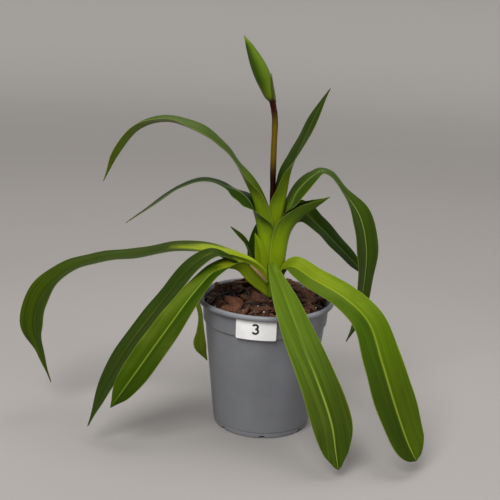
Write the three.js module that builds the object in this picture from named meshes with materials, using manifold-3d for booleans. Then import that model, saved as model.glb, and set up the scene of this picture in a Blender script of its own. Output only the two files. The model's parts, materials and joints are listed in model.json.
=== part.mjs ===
// A slipper orchid in its nursery pot: a fan of folded, strap-shaped leaves and one flower stem with a bud
// grow from a short crown that sits in chunky bark. Millimetres, +Z up, the pot stands on Z = 0.
import * as THREE from "three";
import { mergeVertices } from "three/addons/utils/BufferGeometryUtils.js";
import Module from "manifold-3d";

const wasm = await Module();
wasm.setup();

// Driving dimensions. The pot's axis is the Z axis of all sizes below.
const GAP = 0.35; // clear space between neighbouring pieces

const POT = {
  height: 126,
  rimRadius: 65,
  mouthRadius: 61,
  lipHeight: 4.6,
  collarTopRadius: 60,
  collarBottomRadius: 59,
  collarHeight: 18,
  collarStep: 1.8,
  baseRadius: 46,
  footHeight: 5,
  footLine: 0.5,
  footRing: 3,
  footTaper: 0.6,
  edge: 0.8,
  floorRaise: 1.8,
  floorThickness: 1.6,
  wall: 1.3,
  segments: 36,
  notches: 7,
  notchWidth: 6.4,
  notchTopWidth: 4.2,
  notchHeight: 2.6,
  notchReach: 8,
  firstNotch: THREE.MathUtils.degToRad(-88.6),
};

const LABEL = {
  width: 37,
  height: 17.6,
  thickness: 0.8,
  top: POT.height - POT.lipHeight - 1,
  direction: THREE.MathUtils.degToRad(-98.5),
  segments: 8,
};

// The bark: a mound of chips. The lowest corner pull is the share of its half size that a chip's corner keeps.
const BARK = {
  floor: 4,
  floorChamfer: 2,
  edgeHeight: 120,
  crownHeight: 131,
  moundPower: 1.7,
  moundRadii: [45, 34, 22, 10, 0],
  headroom: 25,
  clearance: 0.5,
  bodySegments: 20,
  chips: 48,
  chipSize: [
    [12, 21],
    [9, 15],
    [4, 7],
  ],
  lowestPull: [0.62, 0.55, 0.5],
  chipRise: [0.12, 0.42],
  chipReach: 53,
  bareRadius: 13,
  turn: 2.39996,
  turnJitter: 0.15,
  tilt: 0.75,
  seed: 20417,
};

const CROWN = {
  centre: [3, 0],
  depth: 0.74,
  profile: [
    [0, 104],
    [7, 104],
    [12, 112],
    [15, 122],
    [15, 132],
    [14, 137.6],
    [0, 137.6],
  ],
  lobeCentre: [1, -14],
  lobeProfile: [
    [0, 108],
    [7, 108],
    [12, 116],
    [13, 128],
    [11.5, 135],
    [0, 136],
  ],
  segments: 14,
};

const STEM = {
  radius: 2.75,
  sides: 10,
  steps: 14,
  path: [
    [2, 0, 138],
    [2, 0, 185],
    [2.2, 0, 222],
    [1.4, 0, 243],
    [1.1, 0, 269],
    [1.1, 0, 289],
    [0.6, 0, 296.5],
    [-0.4, 0, 302],
    [-1.5, 0, 307],
    [-2.75, 0, 311],
  ],
};

// The bud: places on its axis, with the radius at each.
const BUD = {
  sides: 12,
  steps: 10,
  rows: [
    [-3.2, 0, 312, 2.9],
    [-5.4, 0, 315.2, 4.5],
    [-8.3, 0, 322.5, 5.8],
    [-12.6, 0, 333, 7],
    [-18.5, 0, 345, 6],
    [-25, 0, 358, 3.2],
    [-29.5, 0, 366.5, 0.6],
  ],
};

// Every blade: its thickness, its steps, and how far out, as shares of the half width, the round keel may end.
const BLADE = {
  thickness: 0.7,
  stepLength: 12.5,
  fewestSteps: 5,
  nearestBend: 0.35,
  furthestBend: 0.8,
  leastFold: 0.01,
  tipHalf: 0.6,
};

// Leaves, inner to outer. A station is a place on the midrib, the half width measured over the blade, the twist
// about the midrib in degrees, the fold of each half out of the flat in degrees, and the radius of the keel.
// lean is the compass direction, in degrees from +X, that the untwisted leaf arches towards.
const LEAVES = [
  {
    name: "leaf_upright",
    lean: 0,
    colour: 0x6d9a1f,
    stations: [
      [11, 0, 138, 15.5, 0, 88, 3.4],
      [11, 0, 177, 15.5, 0, 88, 3.4],
      [13, 0, 212, 15.5, 0, 86, 3],
      [15.2, 0, 229, 14.5, 3, 56, 2.8],
      [17.3, 0, 245, 13.5, 10, 40, 2.5],
      [21.5, 0, 259.5, 11.8, 15, 19, 2],
      [31, 2, 283, 9.5, 25, 5, 1.5],
      [40, 4, 304, 5.4, 32, 4, 1.2],
      [50, 6, 323, 0.7, 32, 4, 1],
    ],
  },
  {
    name: "leaf_upper_left",
    lean: 180,
    colour: 0x64851f,
    stations: [
      [-4, 0, 138, 16.5, 0, 88, 4.4],
      [-6, 0, 176, 16.5, 0, 88, 4.4],
      [-12.5, 0, 207, 15, 0, 78, 4],
      [-16.8, -0.3, 221, 13.5, -3, 60, 3.6],
      [-23, -1, 234, 12.5, -9, 36, 3],
      [-32, -2, 251, 12, -3, 8, 2],
      [-43.5, -3, 265, 11.8, -7, 10, 2],
      [-67, -5, 280, 14, -9, 17, 1.6],
      [-96, -8, 289, 12.5, -2, 18, 1.5],
      [-120, -12, 282, 11.5, 0, 28, 1.5],
      [-138, -16, 260, 9.5, 0, 38, 1.2],
      [-152, -20, 234, 0.7, 0, 35, 1],
    ],
  },
  {
    name: "leaf_right_arching",
    lean: 0,
    colour: 0x55801c,
    stations: [
      [14, 0, 138, 17, 0, 88, 5.4],
      [15, 0, 177, 15, 0, 88, 5.4],
      [15.5, 0, 195, 9.5, 2, 80, 5],
      [17, 0, 208, 9.5, 10, 40, 4],
      [20, 0, 217, 11.5, 22, 8, 3],
      [24, 1, 227, 11.8, 27, -3, 2.5],
      [30, 2, 235, 11.5, 27, -3, 2],
      [38, 4, 242.3, 11.5, 18, 0, 2],
      [46, 6.5, 246.8, 11.5, 6, 3, 2],
      [56, 8, 243.3, 11.5, 8, 5, 1.5],
      [67.5, 9.5, 229, 10, 14, 8, 1.5],
      [85, 12, 205, 14.5, 40, 8, 1.5],
      [94, 15, 173, 15.5, 47, 8, 1.5],
      [94.5, 18, 132, 11, 44, 8, 1.5],
      [91, 18, 102, 8, 44, 8, 1.2],
      [81, 16, 77, 0.7, 44, 8, 1],
    ],
  },
  {
    name: "leaf_left",
    lean: 180,
    colour: 0x3f6414,
    stations: [
      [-7, 0, 138, 19, 0, 88, 6.4],
      [-9, 0, 176, 19, 0, 88, 6.4],
      [-10.5, 0, 190, 19.5, -2, 85, 6],
      [-12.5, 0, 199, 17, -8, 64, 5.5],
      [-16, -0.5, 211, 13, -22, 34, 4.5],
      [-20.7, -1.5, 219.5, 12, -24, -8, 3],
      [-27, -3, 225.3, 11.5, -16, -20, 2.5],
      [-34, -3.8, 229, 11.5, -11, -18, 2.5],
      [-41, -4.5, 231.8, 11.5, -4, 0, 2],
      [-52, -6, 235.5, 12, 0, 4, 1.8],
      [-64, -7.5, 236, 12, 0, 4, 1.6],
      [-83, -11, 230, 11.5, 0, 5, 1.5],
      [-105, -16, 215, 9, 0, 5, 1.4],
      [-131, -22, 197, 0.7, 0, 5, 1],
    ],
  },
  {
    name: "leaf_right_short",
    lean: 0,
    colour: 0x6f9a20,
    stations: [
      [16, 0, 138, 18, 0, 88, 8.2],
      [17, 0, 170, 20, 0, 88, 8.4],
      [21, 0, 191, 20.5, 0, 84, 7.6],
      [30, -1, 204, 15.5, 0, 72, 5],
      [41, -2, 213, 10.5, 0, 64, 3],
      [55, -3, 225, 0.7, 0, 60, 1],
    ],
  },
  {
    name: "leaf_back_right",
    lean: 0,
    colour: 0x2d4c10,
    stations: [
      [-4, 11.8, 138, 12, 90, 8, 3],
      [-6, 12, 173, 13, 88, 8, 3],
      [6, 12.6, 196, 13, 80, 8, 3],
      [29, 14.5, 206, 12, 52, 14, 3],
      [47, 18, 193, 12, 34, 10, 2],
      [65, 26, 175, 11, 34, 6, 1.5],
      [84, 36, 155, 8, 38, 6, 1.4],
      [102, 44, 135, 0.7, 38, 6, 1],
    ],
  },
  {
    name: "sheath_short",
    lean: -90,
    colour: 0x86a53a,
    stations: [
      [-3, -8.8, 138, 7, 0, 15, 4],
      [-6, -8.8, 167, 6.5, 0, 15, 4],
      [-9, -8.8, 178, 4, 0, 15, 4],
      [-13, -8.6, 189, 0.7, 0, 10, 3],
    ],
  },
  {
    name: "leaf_small_twisted",
    lean: 180,
    colour: 0x35531a,
    stations: [
      [-11, 4, 138, 3.4, 0, 70, 2],
      [-19, 5, 169, 4.2, -10, 50, 2],
      [-25, 6, 180, 3.4, -40, 30, 1.5],
      [-36, 6, 191, 0.7, -60, 20, 1],
    ],
  },
  {
    name: "leaf_left_long",
    lean: 180,
    colour: 0x56781f,
    stations: [
      [1, -12.5, 131, 12, 0, 84, 1.4],
      [-14, -13, 150, 13, 0, 79, 1.6],
      [-33, -11.5, 161, 14, 2, 44, 1.8],
      [-59, -8, 170, 15, -5, 16, 1.5],
      [-87, -6, 170, 15, -5, 12, 1.5],
      [-117, -4, 163, 14.3, -6, 10, 1.5],
      [-158, -2, 156, 14, -8, 10, 1.5],
      [-191, 0, 143, 14, -20, 10, 1.5],
      [-216, 2, 117, 14.5, -52, 10, 1.5],
      [-224, 2, 86, 14, -62, 10, 1.5],
      [-216.5, 1, 60, 5.5, -58, 10, 1.2],
      [-206.5, -1, 29, 0.7, -54, 10, 1],
    ],
  },
  {
    name: "leaf_left_outer",
    lean: 200,
    colour: 0x3d6018,
    stations: [
      [0, -16.5, 131, 6, 0, 84, 1.2],
      [-15, -18, 145, 6, 0, 84, 1.2],
      [-29, -20.5, 160, 5.5, -4, 76, 1.2],
      [-38, -27, 168.3, 6, -10, 40, 1.4],
      [-50, -31, 173, 8, -18, 14, 1.5],
      [-67.5, -32, 162, 10.4, -20, 10, 1.5],
      [-93.5, -36.5, 128.6, 12, -18, 8, 1.5],
      [-119.5, -48.5, 94.1, 12, -22, 8, 1.5],
      [-139.5, -59, 60.2, 11, -24, 8, 1.2],
      [-158, -70, 17, 0.7, -24, 8, 1],
    ],
  },
  {
    name: "leaf_left_front",
    lean: 205,
    colour: 0x4a7218,
    stations: [
      [2, -21, 131, 11, 0, 84, 1.4],
      [-17, -23.5, 146, 14.5, 0, 80, 1.4],
      [-29, -26.5, 158.3, 12.3, -3, 60, 1.6],
      [-46.5, -35, 159.3, 9.6, -18, 14, 1.5],
      [-63.5, -46, 143.7, 10.4, -32, 12, 1.5],
      [-87.5, -60, 111.3, 13.2, -44, 8, 1.5],
      [-113.5, -73, 73.8, 13.2, -48, 8, 1.2],
      [-126.5, -77, 54.5, 9, -49, 8, 1.2],
      [-136, -78, 40, 0.7, -50, 8, 1],
    ],
  },
  {
    name: "leaf_front",
    lean: -75,
    colour: 0x4b7a1c,
    stations: [
      [4, -25, 133, 4, 0, 70, 1.6],
      [1.5, -25, 156, 2.6, 0, 60, 1.5],
      [2, -28, 165.3, 3, 0, 34, 1.4],
      [7, -38, 156.5, 7, 0, 18, 1.5],
      [16.7, -58, 138, 12.2, 0, 10, 1.5],
      [28.7, -78, 114, 15.3, 0, 8, 1.5],
      [45.5, -96, 81, 17.5, 0, 8, 1.5],
      [59, -110, 47, 18.5, 0, 8, 1.2],
      [63.5, -115, 24, 12, 0, 8, 1],
      [66.5, -118, 9, 2.5, 0, 8, 1],
    ],
  },
  {
    name: "leaf_right_front",
    lean: -44,
    colour: 0x74a024,
    stations: [
      [14, -13, 133, 5, 44, 64, 1.6],
      [15.5, -14, 152, 6, 42, 52, 1.6],
      [22, -17, 160.5, 10.5, 32, 24, 1.5],
      [43, -26, 151.5, 12, 34, 12, 1.5],
      [71, -42, 140, 12.8, 38, 8, 1.5],
      [91.5, -57, 123, 15, 36, 8, 1.5],
      [103.5, -74, 92, 18.8, 26, 8, 1.5],
      [115, -90, 59, 21, 20, 8, 1.2],
      [127, -101, 29, 18, 14, 8, 1.2],
      [135, -106, 14, 9.5, 14, 5, 1],
    ],
  },
  {
    name: "leaf_back_left",
    lean: 165,
    colour: 0x5a7a26,
    stations: [
      [-2, 9, 134, 6, 0, 60, 2],
      [-28, 18, 147, 8, 0, 40, 2],
      [-55, 22, 143, 8, -10, 25, 1.5],
      [-68, 25, 124, 6, -40, 14, 1.5],
      [-63, 27, 95, 3.4, -60, 10, 1.5],
      [-62.5, 28, 77, 5, -76, 10, 1.2],
      [-62.5, 28, 62, 7, -82, 10, 1.2],
      [-55.5, 28, 47, 0.7, -80, 8, 1],
    ],
  },
  {
    name: "sheath_dry",
    lean: 170,
    colour: 0x9c6b55,
    stations: [
      [0, -27, 147.5, 1.6, -60, 20, 2],
      [-8, -28.2, 156.5, 1.9, -60, 20, 2],
      [-16.5, -29, 164, 0.7, -60, 20, 2],
    ],
  },
  {
    name: "bud_bract",
    lean: 0,
    colour: 0x7c7a34,
    stations: [
      [1.2, 0, 309, 1.6, 0, 60, 3.2],
      [0.5, 0, 312.2, 3.8, 0, 60, 3.6],
      [-0.3, 0, 317, 5, 0, 60, 4.8],
      [-2.2, 0, 325, 4.4, 0, 55, 6],
      [-4.3, 0, 334.5, 0.7, 0, 30, 6],
    ],
  },
];

// Solids
function turnedOut(geometry) {
  const place = geometry.getAttribute("position");
  const corner = [new THREE.Vector3(), new THREE.Vector3(), new THREE.Vector3()];
  let volume = 0;
  for (let i = 0; i < geometry.index.count; i += 3) {
    corner.forEach((v, k) => v.fromBufferAttribute(place, geometry.index.getX(i + k)));
    volume += corner[0].dot(corner[1].clone().cross(corner[2]));
  }
  if (volume < 0) {
    geometry.index.array.reverse();
  }
  return geometry;
}

function toSolid(source) {
  const bare = source.clone();
  Object.keys(bare.attributes)
    .filter((name) => name !== "position")
    .forEach((name) => bare.deleteAttribute(name));
  const merged = turnedOut(mergeVertices(bare, 1e-4));
  return new wasm.Manifold(
    new wasm.Mesh({
      numProp: 3,
      vertProperties: new Float32Array(merged.attributes.position.array),
      triVerts: new Uint32Array(merged.index.array),
    }),
  );
}

function toGeometry(solid) {
  const mesh = solid.getMesh();
  const geometry = new THREE.BufferGeometry();
  geometry.setAttribute("position", new THREE.BufferAttribute(mesh.vertProperties, 3));
  geometry.setIndex(new THREE.BufferAttribute(mesh.triVerts, 1));
  geometry.computeVertexNormals();
  return geometry;
}

function joined(solids) {
  return solids.reduce((all, solid) => all.add(solid));
}

function largestBody(solid) {
  return solid.decompose().reduce((big, body) => (body.volume() > big.volume() ? body : big));
}

function meet(a, b) {
  const p = a.boundingBox();
  const q = b.boundingBox();
  return [0, 1, 2].every((k) => p.min[k] < q.max[k] && q.min[k] < p.max[k]);
}

// What is left of a solid when the space of its neighbours is cut away.
function cleared(solid, neighbours) {
  const near = neighbours.filter((other) => meet(solid, other));
  return near.length ? largestBody(near.reduce((rest, other) => rest.subtract(other), solid)) : solid;
}

// The value of one column of a leaf's stations, smooth between them; t runs from 0 at the base to 1 at the tip.
function columnAt(stations, column, t) {
  const last = stations.length - 1;
  const index = Math.min(Math.floor(t * last), last - 1);
  const f = t * last - index;
  const value = (i) => stations[THREE.MathUtils.clamp(i, 0, last)][column];
  const [a, b, c, d] = [index - 1, index, index + 1, index + 2].map(value);
  const slopeB = (c - a) / 2;
  const slopeC = (d - b) / 2;
  return (
    b + f * slopeB + f * f * (3 * (c - b) - 2 * slopeB - slopeC) + f * f * f * (2 * (b - c) + slopeB + slopeC)
  );
}

// Half of a leaf's section, from the keel out: a round keel up to the fold angle, then straight to the margin.
// It rises from the midrib where the fold is positive, and droops where it is negative.
function sectionPoints(half, fold, keel) {
  const rise = fold < 0 ? -1 : 1;
  const angle = Math.max(THREE.MathUtils.degToRad(Math.abs(fold)), BLADE.leastFold);
  const round = keel * angle;
  const bend = THREE.MathUtils.clamp(round, BLADE.nearestBend * half, BLADE.furthestBend * half);
  return [0, bend / 2, bend, half].map((length) => {
    const turn = Math.min(length, round) / keel;
    const straight = Math.max(length - round, 0);
    return {
      across: keel * Math.sin(turn) + straight * Math.cos(angle),
      up: rise * (keel * (1 - Math.cos(turn)) + straight * Math.sin(angle)),
      turn: rise * turn,
    };
  });
}

// The rings of a leaf, each with its upper face's points from margin to margin and then its lower face's.
function leafRings(leaf, grow) {
  const spine = new THREE.CatmullRomCurve3(
    leaf.stations.map(([x, y, z]) => new THREE.Vector3(x, y, z)),
    false,
    "centripetal",
  );
  const steps = Math.max(BLADE.fewestSteps, Math.round(spine.getLength() / BLADE.stepLength));
  const lean = THREE.MathUtils.degToRad(leaf.lean);
  const sideways = new THREE.Vector3(-Math.sin(lean), Math.cos(lean), 0);
  const rings = [];
  for (let i = 0; i <= steps; i++) {
    const t = spine.getUtoTmapping(i / steps);
    const along = spine.getTangent(t);
    const centre = spine.getPoint(t);
    if (i === 0) centre.addScaledVector(along, -grow);
    if (i === steps) centre.addScaledVector(along, grow);
    const twist = THREE.MathUtils.degToRad(columnAt(leaf.stations, 4, t));
    const side = sideways.clone().addScaledVector(along, -sideways.dot(along)).normalize();
    side.applyAxisAngle(along, twist);
    const normal = along.clone().cross(side);
    const half = Math.max(columnAt(leaf.stations, 3, t), BLADE.tipHalf) + grow;
    const fold = columnAt(leaf.stations, 5, t);
    const keel = columnAt(leaf.stations, 6, t);
    const points = sectionPoints(half, fold, keel);
    const section = [
      ...points.slice(1).reverse().map((p) => ({ ...p, sign: 1 })),
      ...points.map((p) => ({ ...p, sign: -1 })),
    ];
    const face = (offset) =>
      section.map(({ across, up, turn, sign }) =>
        centre
          .clone()
          .addScaledVector(side, sign * (across - offset * Math.sin(turn)))
          .addScaledVector(normal, up + offset * Math.cos(turn)),
      );
    const offset = BLADE.thickness / 2 + grow;
    rings.push([face(offset), face(-offset)]);
  }
  return rings;
}

// A closed blade through the rings, with its quads split alike on both faces.
function leafGeometry(leaf, grow = 0) {
  const rings = leafRings(leaf, grow);
  const width = rings[0][0].length;
  const points = rings.flatMap(([upper, lower]) => [...upper, ...lower]);
  const at = (ring, face, j) => (ring * 2 + face) * width + j;
  const index = [];
  const quad = (a, b, c, d) => index.push(a, b, c, a, c, d);
  for (let i = 0; i + 1 < rings.length; i++) {
    for (let j = 0; j + 1 < width; j++) {
      quad(at(i, 0, j), at(i + 1, 0, j), at(i + 1, 0, j + 1), at(i, 0, j + 1));
      index.push(at(i, 1, j), at(i + 1, 1, j + 1), at(i + 1, 1, j));
      index.push(at(i, 1, j), at(i, 1, j + 1), at(i + 1, 1, j + 1));
    }
    quad(at(i, 1, 0), at(i + 1, 1, 0), at(i + 1, 0, 0), at(i, 0, 0));
    quad(at(i, 0, width - 1), at(i + 1, 0, width - 1), at(i + 1, 1, width - 1), at(i, 1, width - 1));
  }
  const last = rings.length - 1;
  for (let j = 0; j + 1 < width; j++) {
    quad(at(0, 0, j), at(0, 0, j + 1), at(0, 1, j + 1), at(0, 1, j));
    quad(at(last, 1, j), at(last, 1, j + 1), at(last, 0, j + 1), at(last, 0, j));
  }
  const geometry = new THREE.BufferGeometry().setFromPoints(points);
  geometry.setIndex(index);
  return geometry;
}

// A round, closed body along a curve; radiusAt gives its radius from 0 at the start to 1 at the end.
function roundBody(curve, steps, sides, radiusAt) {
  const rings = Array.from({ length: steps + 1 }, (_, i) => {
    const along = curve.getTangent(i / steps);
    const side = new THREE.Vector3(0, 1, 0);
    const normal = along.clone().cross(side);
    const centre = curve.getPoint(i / steps);
    const radius = radiusAt(i / steps);
    return Array.from({ length: sides }, (_, j) => {
      const angle = (2 * Math.PI * j) / sides;
      return centre
        .clone()
        .addScaledVector(side, radius * Math.cos(angle))
        .addScaledVector(normal, radius * Math.sin(angle));
    });
  });
  const points = [...rings.flat(), curve.getPoint(0), curve.getPoint(1)];
  const index = [];
  for (let j = 0; j < sides; j++) {
    const k = (j + 1) % sides;
    for (let i = 0; i < steps; i++) {
      index.push(i * sides + j, (i + 1) * sides + j, (i + 1) * sides + k);
      index.push(i * sides + j, (i + 1) * sides + k, i * sides + k);
    }
    index.push(points.length - 2, j, k);
    index.push(points.length - 1, steps * sides + k, steps * sides + j);
  }
  const geometry = new THREE.BufferGeometry().setFromPoints(points);
  geometry.setIndex(index);
  return geometry;
}

function curveThrough(rows) {
  return new THREE.CatmullRomCurve3(
    rows.map(([x, y, z]) => new THREE.Vector3(x, y, z)),
    false,
    "centripetal",
  );
}

function stemSolid(grow = 0) {
  const radius = STEM.radius + grow;
  return toSolid(roundBody(curveThrough(STEM.path), STEM.steps, STEM.sides, () => radius));
}

function budSolid(grow = 0) {
  const radius = (t) => columnAt(BUD.rows, 3, t) + grow;
  return toSolid(roundBody(curveThrough(BUD.rows), BUD.steps, BUD.sides, radius));
}

// A body turned about an upright axis from a profile of [radius, height].
function turned(profile, segments) {
  const points = profile.map(([radius, height]) => new THREE.Vector2(radius, height));
  return new THREE.LatheGeometry(points, segments).rotateX(Math.PI / 2);
}

// Pot
function collarBottom() {
  return POT.height - POT.lipHeight - POT.collarHeight;
}

function wallTopRadius() {
  return POT.collarBottomRadius - POT.collarStep;
}

function potProfile() {
  const edge = POT.edge;
  const lipBase = POT.height - POT.lipHeight;
  const wallTop = collarBottom() - 1.5 * edge;
  const floorTop = POT.floorRaise + POT.floorThickness;
  const footTopRadius = POT.baseRadius + POT.footTaper;
  const foot = [
    [0, POT.floorRaise],
    [POT.baseRadius - POT.footRing - edge, POT.floorRaise],
    [POT.baseRadius - POT.footRing, 0],
    [POT.baseRadius - edge, 0],
    [POT.baseRadius, edge],
    [footTopRadius - POT.footLine, POT.footHeight],
    [footTopRadius + POT.footLine, POT.footHeight + edge],
  ];
  const outside = [
    [wallTopRadius(), wallTop],
    [POT.collarBottomRadius, collarBottom()],
    [POT.collarTopRadius, lipBase],
    [POT.rimRadius - edge, lipBase + edge / 2],
    [POT.rimRadius, lipBase + 2 * edge],
    [POT.rimRadius - edge / 2, POT.height - edge],
    [POT.rimRadius - 2 * edge, POT.height],
  ];
  const inside = [
    [POT.mouthRadius + edge, POT.height],
    [POT.mouthRadius, POT.height - edge],
    [POT.collarTopRadius - POT.wall, lipBase - edge],
    [POT.collarBottomRadius - POT.wall, collarBottom() + edge / 2],
    [wallTopRadius() - POT.wall, wallTop - edge],
    [POT.baseRadius - POT.wall, floorTop],
    [0, floorTop],
  ];
  return [...foot, ...outside, ...inside];
}

// A notch through the foot ring, open below and on both sides of the ring.
function notchSolid(angle) {
  const shape = new THREE.Shape();
  shape.moveTo(-POT.notchWidth / 2, -1);
  shape.lineTo(POT.notchWidth / 2, -1);
  shape.lineTo(POT.notchTopWidth / 2, POT.notchHeight);
  shape.lineTo(-POT.notchTopWidth / 2, POT.notchHeight);
  const geometry = new THREE.ExtrudeGeometry(shape, { depth: POT.notchReach, bevelEnabled: false });
  geometry.rotateX(Math.PI / 2);
  geometry.translate(0, POT.notchReach - POT.baseRadius - POT.footRing, 0);
  geometry.rotateZ(angle + Math.PI / 2);
  return toSolid(geometry);
}

function potSolid() {
  const step = (2 * Math.PI) / POT.notches;
  const notches = Array.from({ length: POT.notches }, (_, i) => notchSolid(POT.firstNotch + i * step));
  return toSolid(turned(potProfile(), POT.segments)).subtract(joined(notches));
}

// A stiff card, bent to stand round the collar of the pot.
function labelSolid() {
  const radius = POT.collarTopRadius + GAP + LABEL.thickness / 2;
  const geometry = new THREE.BoxGeometry(LABEL.width, LABEL.thickness, LABEL.height, LABEL.segments, 1, 1);
  const place = geometry.getAttribute("position");
  for (let i = 0; i < place.count; i++) {
    const angle = LABEL.direction + place.getX(i) / radius;
    const out = radius - place.getY(i);
    const height = LABEL.top - LABEL.height / 2 + place.getZ(i);
    place.setXYZ(i, out * Math.cos(angle), out * Math.sin(angle), height);
  }
  return toSolid(geometry);
}

// Crown: two short barrels, flattened front to back, whose first two profile points are their undersides.
function barrelSolid([x, y], profile, grow) {
  const grown = profile.map(([radius, height], i) => {
    const rise = i > 1 ? grow : -grow;
    return [radius && radius + grow, height + rise];
  });
  const geometry = turned(grown, CROWN.segments);
  return toSolid(geometry.scale(1, CROWN.depth, 1).translate(x, y, 0));
}

function crownSolid(grow = 0) {
  const main = barrelSolid(CROWN.centre, CROWN.profile, grow);
  return main.add(barrelSolid(CROWN.lobeCentre, CROWN.lobeProfile, grow));
}

// Bark
function seededDraw(seed) {
  let state = seed;
  return (low, high) => {
    state = (Math.imul(state, 1664525) + 1013904223) >>> 0;
    return low + ((high - low) * state) / 4294967296;
  };
}

function moundHeight(radius) {
  const share = Math.min(radius / BARK.chipReach, 1);
  return BARK.crownHeight - (BARK.crownHeight - BARK.edgeHeight) * share ** BARK.moundPower;
}

// The bark's outer radius inside the tapered wall.
function barkRadius(height) {
  const rise = wallTopRadius() - POT.baseRadius;
  const share = Math.min(height / (collarBottom() - 3 * POT.edge), 1);
  return POT.baseRadius + rise * share - POT.wall - BARK.clearance;
}

function barkFoot() {
  const chamferTop = BARK.floor + BARK.floorChamfer;
  return [
    [0, BARK.floor],
    [barkRadius(BARK.floor) - BARK.floorChamfer, BARK.floor],
    [barkRadius(chamferTop), chamferTop],
    [barkRadius(collarBottom()), collarBottom() - 3 * POT.edge],
  ];
}

function barkBody() {
  const edge = [barkRadius(collarBottom()), moundHeight(BARK.chipReach)];
  const top = BARK.moundRadii.map((radius) => [radius, moundHeight(radius)]);
  return toSolid(turned([...barkFoot(), edge, ...top], BARK.bodySegments));
}

// One chip: a block with its corners pulled about, sunk at a tilt into the mound.
function barkChip(index, draw) {
  const size = BARK.chipSize.map(([low, high]) => draw(low, high));
  const geometry = new THREE.BoxGeometry(...size);
  const corners = Array.from({ length: 8 }, () => BARK.lowestPull.map((low) => draw(low, 1)));
  const place = geometry.getAttribute("position");
  for (let i = 0; i < place.count; i++) {
    const signs = [place.getX(i) > 0, place.getY(i) > 0, place.getZ(i) > 0];
    const pull = corners[signs.reduce((sum, positive, k) => sum + (positive ? 2 ** k : 0), 0)];
    place.setXYZ(i, place.getX(i) * pull[0], place.getY(i) * pull[1], place.getZ(i) * pull[2]);
  }
  const share = (index + 0.5) / BARK.chips;
  const radius = BARK.bareRadius + (BARK.chipReach - BARK.bareRadius) * Math.sqrt(share);
  const around = index * BARK.turn + draw(-BARK.turnJitter, BARK.turnJitter);
  geometry.rotateX(draw(-BARK.tilt, BARK.tilt));
  geometry.rotateY(draw(-BARK.tilt, BARK.tilt));
  geometry.rotateZ(draw(0, Math.PI));
  const height = moundHeight(radius) + size[2] * draw(...BARK.chipRise);
  geometry.translate(radius * Math.cos(around), radius * Math.sin(around), height);
  return toSolid(geometry);
}

// The space that the bark may fill: inside the wall, and inside the mouth above it.
function barkSpace() {
  const margin = POT.wall + BARK.clearance;
  const mouth = POT.mouthRadius - 2 * BARK.clearance;
  const above = [
    [POT.collarBottomRadius - margin, collarBottom() + 2 * POT.edge],
    [POT.collarTopRadius - margin, POT.height - POT.lipHeight - 2 * POT.edge],
    [mouth, POT.height],
    [mouth, POT.height + BARK.headroom],
    [0, POT.height + BARK.headroom],
  ];
  return toSolid(turned([...barkFoot(), ...above], POT.segments));
}

function barkSolid(neighbours) {
  const draw = seededDraw(BARK.seed);
  const chips = Array.from({ length: BARK.chips }, (_, index) => barkChip(index, draw));
  const heap = barkBody().add(joined(chips)).intersect(barkSpace());
  return cleared(heap, neighbours);
}

// Plant
const stem = stemSolid();
const bud = budSolid();
const taken = [stemSolid(GAP), budSolid(GAP)];
const leaves = LEAVES.map((leaf) => {
  const solid = cleared(toSolid(leafGeometry(leaf)), taken);
  taken.push(toSolid(leafGeometry(leaf, GAP)));
  return { ...leaf, solid };
});
const crown = cleared(crownSolid(), taken);
const bark = barkSolid([crownSolid(GAP), ...taken]);

// Scene
function meshOf(name, solid, colour, roughness, metalness = 0) {
  const material = new THREE.MeshStandardMaterial({ color: colour, roughness, metalness });
  const mesh = new THREE.Mesh(toGeometry(solid), material);
  mesh.name = name;
  return mesh;
}

const plant = new THREE.Group();
plant.add(meshOf("flower_stem", stem, 0x3a1a20, 0.45));
plant.add(meshOf("flower_bud", bud, 0x5c8a1e, 0.45));
plant.add(meshOf("crown", crown, 0x6f6a2c, 0.7));
leaves.forEach(({ name, solid, colour }) => plant.add(meshOf(name, solid, colour, 0.4)));

const holder = new THREE.Group();
holder.add(meshOf("pot", potSolid(), 0x6c6e71, 0.5));
holder.add(meshOf("bark", bark, 0x4a2c20, 0.9));
holder.add(meshOf("label", labelSolid(), 0xf0f0ee, 0.6));

// The part's origin is the middle of its footprint, on the surface that the pot stands on.
const orchid = new THREE.Group();
orchid.add(plant, holder);
const footprint = new THREE.Box3().setFromObject(orchid).getCenter(new THREE.Vector3());
orchid.position.set(-footprint.x, -footprint.y, 0);

export default orchid;
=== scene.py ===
"""A slipper orchid in its nursery pot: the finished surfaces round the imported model.

All sizes below are millimetres from the pot's axis at the floor, and placed() turns them into the metres of
the frame.
"""
import json
import math
import random

import bmesh
import bpy
import numpy as np
from mathutils import Matrix, Vector, noise


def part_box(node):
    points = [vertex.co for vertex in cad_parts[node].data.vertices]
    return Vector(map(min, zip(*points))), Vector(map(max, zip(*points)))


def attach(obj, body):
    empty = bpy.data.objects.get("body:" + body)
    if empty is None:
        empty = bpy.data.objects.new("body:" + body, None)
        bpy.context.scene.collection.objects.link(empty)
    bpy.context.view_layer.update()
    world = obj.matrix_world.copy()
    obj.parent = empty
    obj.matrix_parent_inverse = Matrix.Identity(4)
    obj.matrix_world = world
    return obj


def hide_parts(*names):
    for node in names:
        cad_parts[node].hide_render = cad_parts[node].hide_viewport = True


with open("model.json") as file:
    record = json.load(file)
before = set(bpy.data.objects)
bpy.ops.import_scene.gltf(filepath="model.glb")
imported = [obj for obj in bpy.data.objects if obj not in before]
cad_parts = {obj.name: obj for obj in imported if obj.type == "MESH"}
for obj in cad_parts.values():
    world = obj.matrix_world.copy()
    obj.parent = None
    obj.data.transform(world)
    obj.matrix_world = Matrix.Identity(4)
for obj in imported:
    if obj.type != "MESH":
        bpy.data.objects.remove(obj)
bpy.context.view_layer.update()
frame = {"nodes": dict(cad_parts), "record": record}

MM = 0.001
POT_LOW, POT_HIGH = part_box("pot")
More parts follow.
